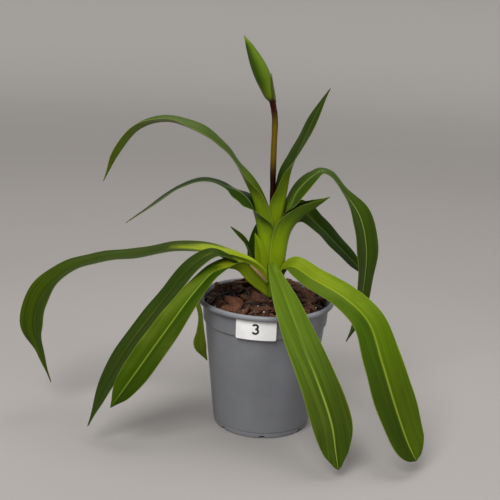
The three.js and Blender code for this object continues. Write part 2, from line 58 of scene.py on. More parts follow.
AXIS = np.array([(POT_LOW.x + POT_HIGH.x) / 2, (POT_LOW.y + POT_HIGH.y) / 2, 0.0])

# Driving dimensions
CAMERA = {
    "lens": 65,
    "sensor": 36,
    "distance": 850,
    "target": (-17, 0, 170.5),
    "elevation": 14.4,
    "roll": 2.3,
}

POT = {
    "height": 126,
    "rim_radius": 65,
    "mouth_radius": 61,
    "lip": 4.6,
    "collar_top": 60,
    "collar_bottom": 59,
    "collar_height": 18,
    "collar_step": 1.8,
    "base_radius": 46,
    "foot_height": 5,
    "foot_ring": 3,
    "floor_raise": 1.8,
    "floor": 1.6,
    "wall": 1.3,
    "notches": 7,
    "first_notch": -88.6,
    "notch_width": 6.4,
    "notch_top_width": 4.2,
    "notch_height": 2.6,
    "segments": 196,
    "least_step": 0.6,
}

LABEL = {
    "width": 37,
    "height": 17.6,
    "thickness": 0.8,
    "top": 120.4,
    "direction": -98.5,
    "radius": 60.75,
    "corner": 1.6,
    "curl": 0.25,
    "columns": 60,
    "rows": 12,
}

# The printed 3. Each bowl has its centre, its half width and half height, and the angles of its two ends.
NUMERAL = {
    "stroke": 1.9,
    "ink": 0.06,
    "sunk": 0.1,
    "middle": (-0.4, 1.6),
    "bowls": [((0, 2.1), (2.3, 1.95), 158, -78), ((0, -2.1), (2.6, 2.25), 84, -156)],
    "steps": 28,
}

# The heap: its heights, the part of it that bears loose pieces, and the dark bed below them. The bed's
# dark tone is a painted shade in the gaps between the chips.
BARK = {
    "edge_height": 119.5,
    "crown_height": 132,
    "power": 1.7,
    "slope": (-0.02, 0.05),
    "reach": 55,
    "mouth": 59.4,
    "bare": 5,
    "margin": 4,
    "bed": 8,
    "bed_rough": 2.2,
    "bed_shade_tone": 0.05,
    "side": [(57.2, 105), (55.2, 100), (44.2, 4)],
    "rings": 26,
    "spokes": 96,
    "seed": 71,
}

# What lies loose on the heap: how many of each, how far round each strays in radians, and its sizes. The
# tone of a chip, from 0 for dark to 1 for light, has a middle, a rise per millimetre of lift, and a spread.
# The rise is a painted shade that makes the lower chips darker.
CHIPS = {
    "count": 340,
    "stray": 0.5,
    "size": [(8, 17), (6, 13), (4.5, 8.5)],
    "lift": (-6.5, 2.5),
    "tilt": 0.9,
    "tone": (0.62, 0.12, 0.26),
}
CRUMBS = {
    "count": 260,
    "stray": 3,
    "size": [(1.8, 5), (1.4, 3.5), (1, 2.4)],
    "lift": (-3, 1.5),
    "tilt": 1.3,
    "tone": (0.1, 1),
}
FIBRES = {
    "count": 26,
    "stray": 3,
    "length": (8, 22),
    "radius": (0.14, 0.26),
    "lift": 1.2,
    "arch": 3.2,
    "bend": 1.6,
    "sides": 5,
    "steps": 9,
}
GRAINS = {"count": 14, "stray": 3, "size": [(0.9, 1.7)] * 3, "lift": 3}

# A broken block, as shares of its half size: where the random planes cut it, and how rough it is. A plane
# cuts only what faces it by more than least_facing.
BLOCK = {"planes": 13, "depth": (0.62, 0.98), "least_facing": 0.08, "reach": 1.2, "rough": 0.26}
GOLDEN_ANGLE = 2.39996

# The stem, with slight swellings, each a share of the radius and a rate along the stem.
STEM = {
    "radius": 2.75,
    "swellings": [(0.025, 37), (0.02, 61)],
    "sides": 28,
    "steps": 90,
    "path": [
        (2, 0, 138),
        (2, 0, 185),
        (2.2, 0, 222),
        (1.4, 0, 243),
        (1.1, 0, 269),
        (1.1, 0, 289),
        (0.6, 0, 296.5),
        (-0.4, 0, 302),
        (-1.5, 0, 307),
        (-2.75, 0, 311),
    ],
}

# The bud: places on its axis, with the radius at each, and how far its foot sits down into the stem's end.
# The keel and the seam each have a height as a share of the radius, a direction in half turns and a width.
BUD = {
    "seat": 1.3,
    "least_radius": 0.35,
    "keel": (0.07, 1.5, 0.28),
    "seam": (-0.06, 0.62, 0.12),
    "sides": 40,
    "steps": 60,
    "rows": [
        (-3.2, 0, 312, 2.9),
        (-5.4, 0, 315.2, 4.5),
        (-8.3, 0, 322.5, 5.8),
        (-12.6, 0, 333, 7),
        (-18.5, 0, 345, 6),
        (-25, 0, 358, 3.2),
        (-29.5, 0, 366.5, 0.6),
    ],
}

# What all blades share. The groove of the rib and the cup of each half shrink on blades narrower than the
# half widths given for them, and go where a half is folded by flat_fold or more.
BLADE = {
    "thickness": 0.7,
    "margin": 0.3,
    "step": 2.6,
    "least_steps": 16,
    "across": 12,
    "crowding": 1.15,
    "rib_depth": 0.5,
    "rib_width": 1.3,
    "rib_half": 6,
    "cup": 0.5,
    "cup_half": 10,
    "flat_fold": 45,
    "wave": 0.45,
    "wave_length": 38,
    "wave_fade": 20,
    "end_half": 1.5,
    "tip_half": 0.3,
}

# Leaf finishes. A look has the colours of the base, of the upper and lower face, and of the near and far
# part of the rib, with the rib's strength. "fade" holds the shares of the length between which the base
# colour gives way. The rest are factors: "sides" for the halves right and left of the rib, a painted shade
# on the half that the light reaches less; "tip" for the outer half of the length, a painted shade below 1
# and a painted sheen above 1; and "stripes" for the bands between the veins.
LOOKS = {
    "upright": dict(
        base="#6c7f0a", upper="#26380e", lower="#526612", rib=("#5f7030", "#5f7030", 0.5),
        fade=(0.2, 0.62), sides=(1, 1), tip=0.9, stripes=0.85,
    ),
    "upper_left": dict(
        base="#657b0a", upper="#3a4c18", lower="#52641c", rib=("#64753a", "#64753a", 0.4),
        fade=(0.18, 0.5), sides=(1, 0.9), tip=1, stripes=0.85,
    ),
    "arching": dict(
        base="#5c7010", upper="#2e4408", lower="#3f561a", rib=("#7d8f46", "#7d8f46", 0.75),
        fade=(0.14, 0.34), sides=(1, 0.92), tip=0.9, stripes=0.68,
    ),
    "left": dict(
        base="#70880c", upper="#243a0c", lower="#3a5016", rib=("#7c9150", "#7c9150", 0.75),
        fade=(0.2, 0.38), sides=(1, 0.45), tip=1, stripes=0.85,
    ),
    "short": dict(
        base="#6c820c", upper="#2a3f0b", lower="#3c5212", rib=("#8ea14a", "#8ea14a", 0.6),
        fade=(0.36, 0.72), sides=(1, 1), tip=0.9, stripes=0.85,
    ),
    "back": dict(
        base="#33480c", upper="#1a3202", lower="#21380a", rib=("#56702c", "#56702c", 0.8),
        fade=(0.05, 0.3), sides=(1, 0.85), tip=0.9, stripes=0.85,
    ),
    "pale": dict(
        base="#64780a", upper="#5e720a", lower="#667a0c", rib=("#7d9030", "#7d9030", 0.3),
        fade=(0.2, 0.9), sides=(1, 1), tip=1, stripes=0.88,
    ),
    "long": dict(
        base="#7c8c12", upper="#2a3a05", lower="#3c4b0c", rib=("#1e2c04", "#1e2c04", 0.6),
        fade=(0.22, 0.34), sides=(0.85, 1), tip=1.4, stripes=0.66,
    ),
    "outer": dict(
        base="#6a6c16", upper="#293b10", lower="#2e4016", rib=("#162306", "#162306", 0.8),
        fade=(0.18, 0.24), sides=(1, 0.9), tip=0.85, stripes=0.78,
    ),
    "left_front": dict(
        base="#869018", upper="#334b05", lower="#566a18", rib=("#8a9c3c", "#7c8e34", 0.5),
        fade=(0.24, 0.32), sides=(0.62, 1), tip=0.85, stripes=0.78,
    ),
    "back_left": dict(
        base="#566a14", upper="#6a7e1c", lower="#6a7e1c", rib=("#8a9c3c", "#8a9c3c", 0.4),
        fade=(0.1, 0.3), sides=(1, 1), tip=1, stripes=0.85,
    ),
    "front": dict(
        base="#4e660e", upper="#486017", lower="#4a6214", rib=("#1e3605", "#7c9238", 0.7),
        fade=(0.1, 0.6), sides=(0.85, 1), tip=0.55, stripes=0.62,
    ),
    "right_front": dict(
        base="#687a10", upper="#476006", lower="#4c6212", rib=("#7c8c24", "#8c9c3c", 0.4),
        fade=(0.24, 0.52), sides=(0.92, 0.5), tip=0.55, stripes=0.76,
    ),
}

# Leaves and sheaths, each with its look, the direction in degrees from +X that it arches towards, and its
# stations. A station is a place on the midrib, the half width measured over the blade, the twist about the
# midrib and the fold of each half out of the flat, both in degrees, and the radius of the keel.
LEAVES = {
    "leaf_upright": ("upright", 0, [
        (11, 0, 138, 15.5, 0, 88, 3.4),
        (11, 0, 177, 15.5, 0, 88, 3.4),
        (13, 0, 212, 15.5, 0, 86, 3),
        (15.2, 0, 229, 14.5, 3, 56, 2.8),
        (17.3, 0, 245, 13.5, 10, 40, 2.5),
        (21.5, 0, 259.5, 11.8, 15, 19, 2),
        (31, 2, 283, 9.5, 25, 5, 1.5),
        (40, 4, 304, 5.4, 32, 4, 1.2),
        (50, 6, 323, 0.7, 32, 4, 1),
    ]),
    "leaf_upper_left": ("upper_left", 180, [
        (-4, 0, 138, 16.5, 0, 88, 4.4),
        (-6, 0, 176, 16.5, 0, 88, 4.4),
        (-12.5, 0, 207, 15, 0, 78, 4),
        (-16.8, -0.3, 221, 13.5, -3, 60, 3.6),
        (-23, -1, 234, 12.5, -9, 36, 3),
        (-32, -2, 251, 12, -3, 8, 2),
        (-43.5, -3, 265, 11.8, -7, 10, 2),
        (-67, -5, 280, 14, -9, 17, 1.6),
        (-96, -8, 289, 12.5, -2, 18, 1.5),
        (-120, -12, 282, 11.5, 0, 28, 1.5),
        (-138, -16, 260, 9.5, 0, 38, 1.2),
        (-152, -20, 234, 0.7, 0, 35, 1),
    ]),
    "leaf_right_arching": ("arching", 0, [
        (14, 0, 138, 17, 0, 88, 5.4),
        (15, 0, 177, 15, 0, 88, 5.4),
        (15.5, 0, 195, 9.5, 2, 80, 5),
        (17, 0, 208, 9.5, 10, 40, 4),
        (20, 0, 217, 11.5, 22, 8, 3),
        (24, 1, 227, 11.8, 27, -3, 2.5),
        (30, 2, 235, 11.5, 27, -3, 2),
        (38, 4, 242.3, 11.5, 18, 0, 2),
        (46, 6.5, 246.8, 11.5, 6, 3, 2),
        (56, 8, 243.3, 11.5, 8, 5, 1.5),
        (67.5, 9.5, 229, 10, 14, 8, 1.5),
        (85, 12, 205, 14.5, 40, 8, 1.5),
        (94, 15, 173, 15.5, 47, 8, 1.5),
        (94.5, 18, 132, 11, 44, 8, 1.5),
        (91, 18, 102, 8, 44, 8, 1.2),
        (81, 16, 77, 0.7, 44, 8, 1),
    ]),
    "leaf_left": ("left", 180, [
        (-7, 0, 138, 19, 0, 88, 6.4),
        (-9, 0, 176, 19, 0, 88, 6.4),
        (-10.5, 0, 190, 19.5, -2, 85, 6),
        (-12.5, 0, 199, 17, -8, 64, 5.5),
        (-16, -0.5, 211, 13, -22, 34, 4.5),
        (-20.7, -1.5, 219.5, 12, -24, -8, 3),
        (-27, -3, 225.3, 11.5, -16, -20, 2.5),
        (-34, -3.8, 229, 11.5, -11, -18, 2.5),
        (-41, -4.5, 231.8, 11.5, -4, 0, 2),
        (-52, -6, 235.5, 12, 0, 4, 1.8),
        (-64, -7.5, 236, 12, 0, 4, 1.6),
        (-83, -11, 230, 11.5, 0, 5, 1.5),
        (-105, -16, 215, 9, 0, 5, 1.4),
        (-131, -22, 197, 0.7, 0, 5, 1),
    ]),
    "leaf_right_short": ("short", 0, [
        (16, 0, 138, 18, 0, 88, 8.2),
        (17, 0, 170, 20, 0, 88, 8.4),
        (21, 0, 191, 20.5, 0, 84, 7.6),
        (30, -1, 204, 15.5, 0, 72, 5),
        (41, -2, 213, 10.5, 0, 64, 3),
        (55, -3, 225, 0.7, 0, 60, 1),
    ]),
    "leaf_back_right": ("back", 0, [
        (-4, 11.8, 138, 12, 90, 8, 3),
        (-6, 12, 173, 13, 88, 8, 3),
        (6, 12.6, 196, 13, 80, 8, 3),
        (29, 14.5, 206, 12, 52, 14, 3),
        (47, 18, 193, 12, 34, 10, 2),
        (65, 26, 175, 11, 34, 6, 1.5),
        (84, 36, 155, 8, 38, 6, 1.4),
        (102, 44, 135, 0.7, 38, 6, 1),
    ]),
    "sheath_short": ("pale", -90, [
        (-3, -8.8, 138, 7, 0, 15, 4),
        (-6, -8.8, 167, 6.5, 0, 15, 4),
        (-9, -8.8, 178, 4, 0, 15, 4),
        (-13, -8.6, 189, 0.7, 0, 10, 3),
    ]),
    "leaf_small_twisted": ("outer", 180, [
        (-11, 4, 138, 3.4, 0, 70, 2),
        (-19, 5, 169, 4.2, -10, 50, 2),
        (-25, 6, 180, 3.4, -40, 30, 1.5),
        (-36, 6, 191, 0.7, -60, 20, 1),
    ]),
    "leaf_left_long": ("long", 180, [
        (1, -12.5, 131, 12, 0, 84, 1.4),
        (-14, -13, 150, 13, 0, 79, 1.6),
        (-33, -11.5, 161, 14, 2, 44, 1.8),
        (-59, -8, 170, 15, -5, 16, 1.5),
        (-87, -6, 170, 15, -5, 12, 1.5),
        (-117, -4, 163, 14.3, -6, 10, 1.5),
        (-158, -2, 156, 14, -8, 10, 1.5),
        (-191, 0, 143, 14, -20, 10, 1.5),
        (-216, 2, 117, 14.5, -52, 10, 1.5),
        (-224, 2, 86, 14, -62, 10, 1.5),
        (-216.5, 1, 60, 5.5, -58, 10, 1.2),
        (-206.5, -1, 29, 0.7, -54, 10, 1),
    ]),
    "leaf_left_outer": ("outer", 200, [
        (0, -16.5, 131, 6, 0, 84, 1.2),
        (-15, -18, 145, 6, 0, 84, 1.2),
        (-29, -20.5, 160, 5.5, -4, 76, 1.2),
        (-38, -27, 168.3, 6, -10, 40, 1.4),
        (-50, -31, 173, 8, -18, 14, 1.5),
        (-67.5, -32, 162, 10.4, -20, 10, 1.5),
        (-93.5, -36.5, 128.6, 12, -18, 8, 1.5),
        (-119.5, -48.5, 94.1, 12, -22, 8, 1.5),
        (-139.5, -59, 60.2, 11, -24, 8, 1.2),
        (-158, -70, 17, 0.7, -24, 8, 1),
    ]),
    "leaf_left_front": ("left_front", 205, [
        (2, -21, 131, 11, 0, 84, 1.4),
        (-17, -23.5, 146, 14.5, 0, 80, 1.4),
        (-29, -26.5, 158.3, 12.3, -3, 60, 1.6),
        (-46.5, -35, 159.3, 9.6, -18, 14, 1.5),
        (-63.5, -46, 143.7, 10.4, -32, 12, 1.5),
        (-87.5, -60, 111.3, 13.2, -44, 8, 1.5),
        (-113.5, -73, 73.8, 13.2, -48, 8, 1.2),
        (-126.5, -77, 54.5, 9, -49, 8, 1.2),
        (-136, -78, 40, 0.7, -50, 8, 1),
    ]),
    "leaf_front": ("front", -75, [
        (4, -25, 133, 4, 0, 70, 1.6),
        (1.5, -25, 156, 2.6, 0, 60, 1.5),
        (2, -28, 165.3, 3, 0, 34, 1.4),
        (7, -38, 156.5, 7, 0, 18, 1.5),
        (16.7, -58, 138, 12.2, 0, 10, 1.5),
        (28.7, -78, 114, 15.3, 0, 8, 1.5),
        (45.5, -96, 81, 17.5, 0, 8, 1.5),
        (59, -110, 47, 18.5, 0, 8, 1.2),
        (63.5, -115, 24, 12, 0, 8, 1),
        (66.5, -118, 9, 2.5, 0, 8, 1),
    ]),
    "leaf_right_front": ("right_front", -44, [
        (14, -13, 133, 5, 44, 64, 1.6),
        (15.5, -14, 152, 6, 42, 52, 1.6),
        (22, -17, 160.5, 10.5, 32, 24, 1.5),
        (43, -26, 151.5, 12, 34, 12, 1.5),
        (71, -42, 140, 12.8, 38, 8, 1.5),
        (91.5, -57, 123, 15, 36, 8, 1.5),
        (103.5, -74, 92, 18.8, 26, 8, 1.5),
        (115, -90, 59, 21, 20, 8, 1.2),
        (127, -101, 29, 18, 14, 8, 1.2),
        (135, -106, 14, 9.5, 14, 5, 1),
    ]),
    "leaf_back_left": ("back_left", 165, [
        (-2, 9, 134, 6, 0, 60, 2),
        (-28, 18, 147, 8, 0, 40, 2),
        (-55, 22, 143, 8, -10, 25, 1.5),
        (-68, 25, 124, 6, -40, 14, 1.5),
        (-63, 27, 95, 3.4, -60, 10, 1.5),
        (-62.5, 28, 77, 5, -76, 10, 1.2),
        (-62.5, 28, 62, 7, -82, 10, 1.2),
        (-55.5, 28, 47, 0.7, -80, 8, 1),
    ]),
    "sheath_dry": ("dry", 170, [
        (0, -27, 147.5, 1.6, -60, 20, 2),
        (-8, -28.2, 156.5, 1.9, -60, 20, 2),
        (-16.5, -29, 164, 0.7, -60, 20, 2),
    ]),
    "bud_bract": ("bract", 0, [
        (1.2, 0, 309, 1.6, 0, 60, 3.2),
        (0.5, 0, 312.2, 3.8, 0, 60, 3.6),
        (-0.3, 0, 317, 5, 0, 60, 4.8),
        (-2.2, 0, 325, 4.4, 0, 55, 6),
        (-4.3, 0, 334.5, 0.7, 0, 30, 6),
    ]),
}

# The floor is flat out to one radius, and rises gently from there to its edge.
STAGE = {"flat": 3000, "reach": 7000, "rise": 1500, "steps": 12, "spokes": 72}

# Each light has its place, the point that it faces, its width in metres and its power in watts.
LIGHTS = {
    "key": ((-1100, -2400, 2900), (0, 0, 120), 2.2, 140),
    "fill": ((2200, -1800, 1400), (0, 0, 140), 2.4, 32),
    "top": ((300, 700, 3400), (0, 0, 160), 2.6, 68),
}
SKY = {"Color": (1, 0.975, 0.955, 1), "Strength": 0.3}

SLOT_OF = {node["node"]: node["material_slot"] for node in frame["record"]["subparts"]}


# Curves
def hermite(start, end, slope_start, slope_end, f):
    rise = end - start
    return (
        start
        + f * slope_start
        + f**2 * (3 * rise - 2 * slope_start - slope_end)
        + f**3 * (slope_start + slope_end - 2 * rise)
    )


def segments_at(count, t):
    last = count - 1
    index = np.clip((t * last).astype(int), 0, last - 1)
    return index, t * last - index


def curve_at(places, t):
    """Points at shares t, from 0 to 1, of the centripetal Catmull-Rom curve through the places."""
    places = np.asarray(places, float)
    first = 2 * places[0] - places[1]
    after = 2 * places[-1] - places[-2]
    padded = np.vstack([first, places, after])
    index, f = segments_at(len(places), t)
    a, b, c, d = (padded[index + k] for k in range(4))
    gaps = [np.sqrt(np.linalg.norm(q - p, axis=1))[:, None] for p, q in ((a, b), (b, c), (c, d))]
    before, here, beyond = gaps
    slope_b = ((b - a) / before - (c - a) / (before + here) + (c - b) / here) * here
    slope_c = ((c - b) / here - (d - b) / (here + beyond) + (d - c) / beyond) * here
    return hermite(b, c, slope_b, slope_c, f[:, None])


def column_at(values, t):
    """One column of the stations at shares t, smooth between them."""
    values = np.asarray(values, float)
    padded = np.concatenate([values[:1], values, values[-1:]])
    index, f = segments_at(len(values), t)
    a, b, c, d = (padded[index + k] for k in range(4))
    return hermite(b, c, (c - a) / 2, (d - b) / 2, f)


def unit(vectors):
    return vectors / np.linalg.norm(vectors, axis=-1, keepdims=True)


def even_shares(places, steps):
    """Shares that stand at equal distances along the curve, and those distances."""
    fine = np.linspace(0, 1, 600)
    gaps = np.linalg.norm(np.diff(curve_at(places, fine), axis=0), axis=1)
    length = np.concatenate([[0], np.cumsum(gaps)])
    run = np.linspace(0, length[-1], steps + 1)
    return np.interp(run, length, fine), run


def curve_length(places):
    return even_shares(places, 2)[1][-1]


def direction_at(places, t, reach=0.002):
    return unit(curve_at(places, np.minimum(t + reach, 1)) - curve_at(places, np.maximum(t - reach, 0)))


# Meshes
def placed(points):
    return np.asarray(points, float) * MM + AXIS


def add_object(name, data):
    made = bpy.data.objects.new(name, data)
    bpy.context.scene.collection.objects.link(made)
    return made


def smooth_mesh(name, points, faces, materials):
    """A mesh from points in millimetres, in a list or a grid."""
    mesh = bpy.data.meshes.new(name)
    mesh.from_pydata(placed(points).reshape(-1, 3).tolist(), [], [tuple(int(i) for i in f) for f in faces])
    for material in materials:
        mesh.materials.append(material)
    mesh.polygons.foreach_set("use_smooth", [True] * len(mesh.polygons))
    return mesh


def make_piece(name, points, faces, materials, replaced=(), slot=None, sharp=50, attributes=()):
    """A piece that rides on the root body, smooth but for edges over the angle sharp. It takes the place of
    the replaced nodes. slot is not used."""
    mesh = smooth_mesh(name, points, faces, materials)
    for key, values in dict(attributes).items():
        values = np.asarray(values, np.float32)
        if values.ndim > 1:
            mesh.attributes.new(key, "FLOAT_VECTOR", "POINT").data.foreach_set("vector", values.ravel())
        else:
            mesh.attributes.new(key, "FLOAT", "POINT").data.foreach_set("value", values)
    mesh.set_sharp_from_angle(angle=math.radians(sharp))
    mesh.validate()
    mesh.update()
    piece = add_object(name, mesh)
    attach(piece, "root")
    if replaced:
        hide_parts(*replaced)
    slot or SLOT_OF[replaced[0]]
    return piece


def board_faces(rows, columns):
    """The closed skin between two equal grids of points, the upper one first."""
    size = rows * columns
    corners = [i * columns + j for i in range(rows - 1) for j in range(columns - 1)]
    faces = [(a, a + columns, a + columns + 1, a + 1) for a in corners]
    faces += [tuple(a + size for a in reversed(face)) for face in faces]
    for i in range(rows - 1):
        a = i * columns
        faces.append((a + size, a + size + columns, a + columns, a))
        b = a + columns - 1
        faces.append((b, b + columns, b + columns + size, b + size))
    for j in range(columns - 1):
        faces.append((j, j + 1, j + 1 + size, j + size))
        k = (rows - 1) * columns + j
        faces.append((k + size, k + size + 1, k + 1, k))
    return faces


def tube_faces(rings, sides):
    """The wall between equal rings of points."""
    faces = []
    for i in range(rings - 1):
        for j in range(sides):
            a = i * sides + j
            b = i * sides + (j + 1) % sides
            faces.append((a, a + sides, b + sides, b))
    return faces


def closed_tube(rings, sides):
    last = (rings - 1) * sides
    ends = [tuple(range(sides)), tuple(reversed(range(last, last + sides)))]
    return tube_faces(rings, sides) + ends


def face_outwards(piece, weld=None):
    """Turns all faces outwards, and first joins points that stand closer than weld, in metres."""
    mesh = bmesh.new()
    mesh.from_mesh(piece.data)
    if weld:
        bmesh.ops.remove_doubles(mesh, verts=mesh.verts, dist=weld)
    bmesh.ops.recalc_face_normals(mesh, faces=mesh.faces)
    mesh.to_mesh(piece.data)
    mesh.free()


def around(radius, angle):
    return radius * math.cos(angle), radius * math.sin(angle)


def side_by_side(*values):
    """Values spread over one grid and joined as its last axis."""
    return np.stack(np.broadcast_arrays(*values), axis=-1)


# Materials. Their numbers were set against the photograph. Noise from "run" or "grain" is scaled to
# millimetres, and noise from place() to metres.
def colour(text):
    """A linear colour from its screen value, such as #a9bf2c."""
    shares = [int(text[i : i + 2], 16) / 255 for i in (1, 3, 5)]
    return (*[s / 12.92 if s <= 0.04045 else ((s + 0.055) / 1.055) ** 2.4 for s in shares], 1)


class Shade:
    """A procedural material, built node by node. What feeds a socket is a number, some numbers, the text of
    a colour or another socket."""

    def __init__(self, name, gloss, tint=(1, 1, 1, 1)):
        self.material = bpy.data.materials.new(name)
        self.material.use_nodes = True
        self.tree = self.material.node_tree
        self.surface = self.tree.nodes["Principled BSDF"].inputs
        self.tone = None
        self.feed(self.surface["Specular IOR Level"], gloss)
        self.feed(self.surface["Specular Tint"], tint)

    def feed(self, socket, value):
        if isinstance(value, bpy.types.NodeSocket):
            self.tree.links.new(value, socket)
        else:
            socket.default_value = colour(value) if isinstance(value, str) else value

    def node(self, kind, inputs, output=0, **settings):
        made = self.tree.nodes.new(kind)
        for key, value in settings.items():
            setattr(made, key, value)
        for key, value in inputs.items():
            self.feed(made.inputs[key], value)
        return made.outputs[output]

    def attribute(self, name, output=1):
        return self.node("ShaderNodeAttribute", {}, output, attribute_name=name)

    def place(self):
        return self.node("ShaderNodeTexCoord", {}, 3)

    def split(self, vector):
        return self.node("ShaderNodeSeparateXYZ", {0: vector}, 0).node.outputs

    def noise(self, vector, scale, detail=2, rough=0.5):
        """Noise about a half. scale is one number, or three for the parts of the vector."""
        if isinstance(scale, tuple):
            vector = self.node("ShaderNodeVectorMath", {0: vector, 1: scale}, operation="MULTIPLY")
            scale = 1
        inputs = {"Vector": vector, "Scale": scale, "Detail": detail, "Roughness": rough}
        return self.node("ShaderNodeTexNoise", inputs)

    def cells(self, vector, scale):
        return self.node("ShaderNodeTexVoronoi", {"Vector": vector, "Scale": scale})

    def math(self, operation, a, b=0.0):
        return self.node("ShaderNodeMath", {0: a, 1: b}, operation=operation)

    def add(self, a, b):
        return self.math("ADD", a, b)

    def times(self, a, b):
        return self.math("MULTIPLY", a, b)

    def about_zero(self, noise, spread):
        """The noise, which is about a half, moved to about zero and spread."""
        return self.times(self.math("SUBTRACT", noise, 0.5), spread)

    def band(self, value, low, high, to_low=0.0, to_high=1.0):
        """Rises smoothly from to_low to to_high as the value goes from low to high."""
        inputs = {"Value": value, "From Min": low, "From Max": high, "To Min": to_low, "To Max": to_high}
        return self.node("ShaderNodeMapRange", inputs, interpolation_type="SMOOTHSTEP")

    def mix(self, a, b, share):
        return self.node("ShaderNodeMix", {0: share, 6: a, 7: b}, 2, data_type="RGBA")

    def paint(self, over, share):
        """Puts another colour over the tone so far where share is 1."""
        self.tone = self.mix(self.tone, over, share)

    def darken(self, share, factor, red=1):
        """Multiplies the tone so far by factor where share is 1, and its red by the factor red as well."""
        inputs = {0: share, 6: self.tone, 7: (factor * red, factor, factor, 1)}
        self.tone = self.node("ShaderNodeMix", inputs, 2, data_type="RGBA", blend_type="MULTIPLY")

    def bump(self, height, distance, strength=1.0):
        return self.node("ShaderNodeBump", {"Height": height, "Distance": distance, "Strength": strength})

    def finish(self, roughness, normal=None):
        self.feed(self.surface["Base Color"], self.tone)
        self.feed(self.surface["Roughness"], roughness)
        if normal is not None:
            self.feed(self.surface["Normal"], normal)
        return self.material


def leaf_material(name, look):
    """Fine parallel veins, a pale base that reaches furthest along the rib, and light margins. "blade" has
    the shares across and along and the face, 1 above and 0 below, and "run" the millimetres across and
    along."""
    shade = Shade(name, 0.2, (0.9, 1, 0.14, 1))
    across, along, face = shade.split(shade.attribute("blade"))
    run = shade.attribute("run")
    veins = shade.noise(run, (1.5, 0.012, 0), 3, 0.6)
    bands = shade.noise(run, (0.34, 0.005, 0), 2)
    patches = shade.noise(run, (0.07, 0.03, 0), 3)
    width = shade.math("ABSOLUTE", across)
    shade.tone = shade.mix(look["lower"], look["upper"], face)
    reach = shade.add(along, shade.about_zero(patches, 0.25))
    reach = shade.add(reach, shade.times(shade.math("POWER", width, 2), 0.14))
    shade.paint(look["base"], shade.band(reach, *look["fade"], 1.0, 0.0))
    # Painted shade on the half of the blade that the light reaches less.
    right, left = look["sides"]
    shade.darken(shade.band(across, 0.0, 0.2), right, right**0.4)
    shade.darken(shade.band(across, 0.0, -0.2), left, left**0.4)
    # Painted shade on the outer part of the length where tip is below 1, painted sheen above 1.
    shade.darken(shade.band(along, 0.5, 0.8), look["tip"])
    grown = shade.band(along, 0.25, 0.7, 0.35, 1.0)
    striped = shade.times(shade.band(bands, 0.42, 0.62), grown)
    shade.darken(striped, look["stripes"])
    shade.darken(shade.band(veins, 0.48, 0.7), 0.84)
    shade.darken(shade.band(patches, 0.5, 0.7), 0.88)
    rib_near, rib_far, rib_strength = look["rib"]
    rib_tone = shade.mix(rib_near, rib_far, shade.band(along, 0.4, 0.75))
    rib = shade.times(shade.band(width, 0.07, 0.02), shade.band(face, 0, 1, 0.5, 1.0))
    shade.paint(rib_tone, shade.times(rib, rib_strength))
    shade.paint("#9aa648", shade.band(width, 0.955, 0.99, 0, 0.3))
    roughness = shade.band(shade.add(veins, patches), 0.6, 1.4, 0.34, 0.48)
    height = shade.add(shade.times(veins, 0.6), shade.times(bands, 0.8))
    return shade.finish(roughness, shade.bump(height, 0.0004, 0.8))


def sheath_material(name, base, streak, rest):
    """A dry or thin sheath, streaked along its length, and in the colour rest at its margins and foot."""
    shade = Shade(name, 0.25)
    across, along, _ = shade.split(shade.attribute("blade"))
    run = shade.attribute("run")
    streaks = shade.noise(run, (1.6, 0.05, 0), 4, 0.65)
    spots = shade.noise(run, (0.6, 0.5, 0), 3)
    shade.tone = shade.mix(base, streak, shade.band(streaks, 0.35, 0.65))
    shade.darken(shade.band(spots, 0.5, 0.75), 0.6)
    reach = shade.add(shade.math("ABSOLUTE", across), shade.about_zero(streaks, 1))
    shade.paint(rest, shade.band(reach, 0.45, 0.8))
    shade.paint(rest, shade.band(along, 0.22, 0.05))
    return shade.finish(shade.band(spots, 0.3, 0.7, 0.55, 0.75), shade.bump(streaks, 0.0003))


def pot_material():
    shade = Shade("pot_plastic", 0.45)
    place = shade.place()
    grain = shade.noise(place, 1400, 2)
    clouds = shade.noise(place, 26, 4, 0.6)
    scuffs = shade.noise(place, (60, 60, 420), 3, 0.7)
    dust = shade.noise(place, 320, 4, 0.7)
    shade.tone = shade.mix("#6a6c70", "#737579", shade.band(clouds, 0.3, 0.72))
    shade.paint("#85878a", shade.band(scuffs, 0.62, 0.8, 0, 0.45))
    shade.paint("#9a958d", shade.band(dust, 0.66, 0.8, 0, 0.3))
    roughness = shade.band(shade.add(clouds, grain), 0.7, 1.3, 0.44, 0.6)
    return shade.finish(roughness, shade.bump(grain, 0.00006, 0.6))


def card_material():
    shade = Shade("label_card", 0.5)
    place = shade.place()
    fibre = shade.noise(place, 900, 3, 0.6)
    wash = shade.noise(place, 60, 2)
    shade.tone = shade.mix("#e8e8e7", "#dbdbda", shade.band(wash, 0.35, 0.7))
    shade.darken(shade.band(fibre, 0.5, 0.8), 0.97)
    return shade.finish(shade.band(wash, 0.3, 0.7, 0.42, 0.55), shade.bump(fibre, 0.00003))


def ink_material():
    shade = Shade("label_ink", 0.4)
    speckle = shade.noise(shade.place(), 1500, 3, 0.6)
    shade.tone = shade.mix("#0c0c0d", "#1d1d1f", shade.band(speckle, 0.45, 0.7))
    return shade.finish(shade.band(speckle, 0.3, 0.7, 0.4, 0.6))


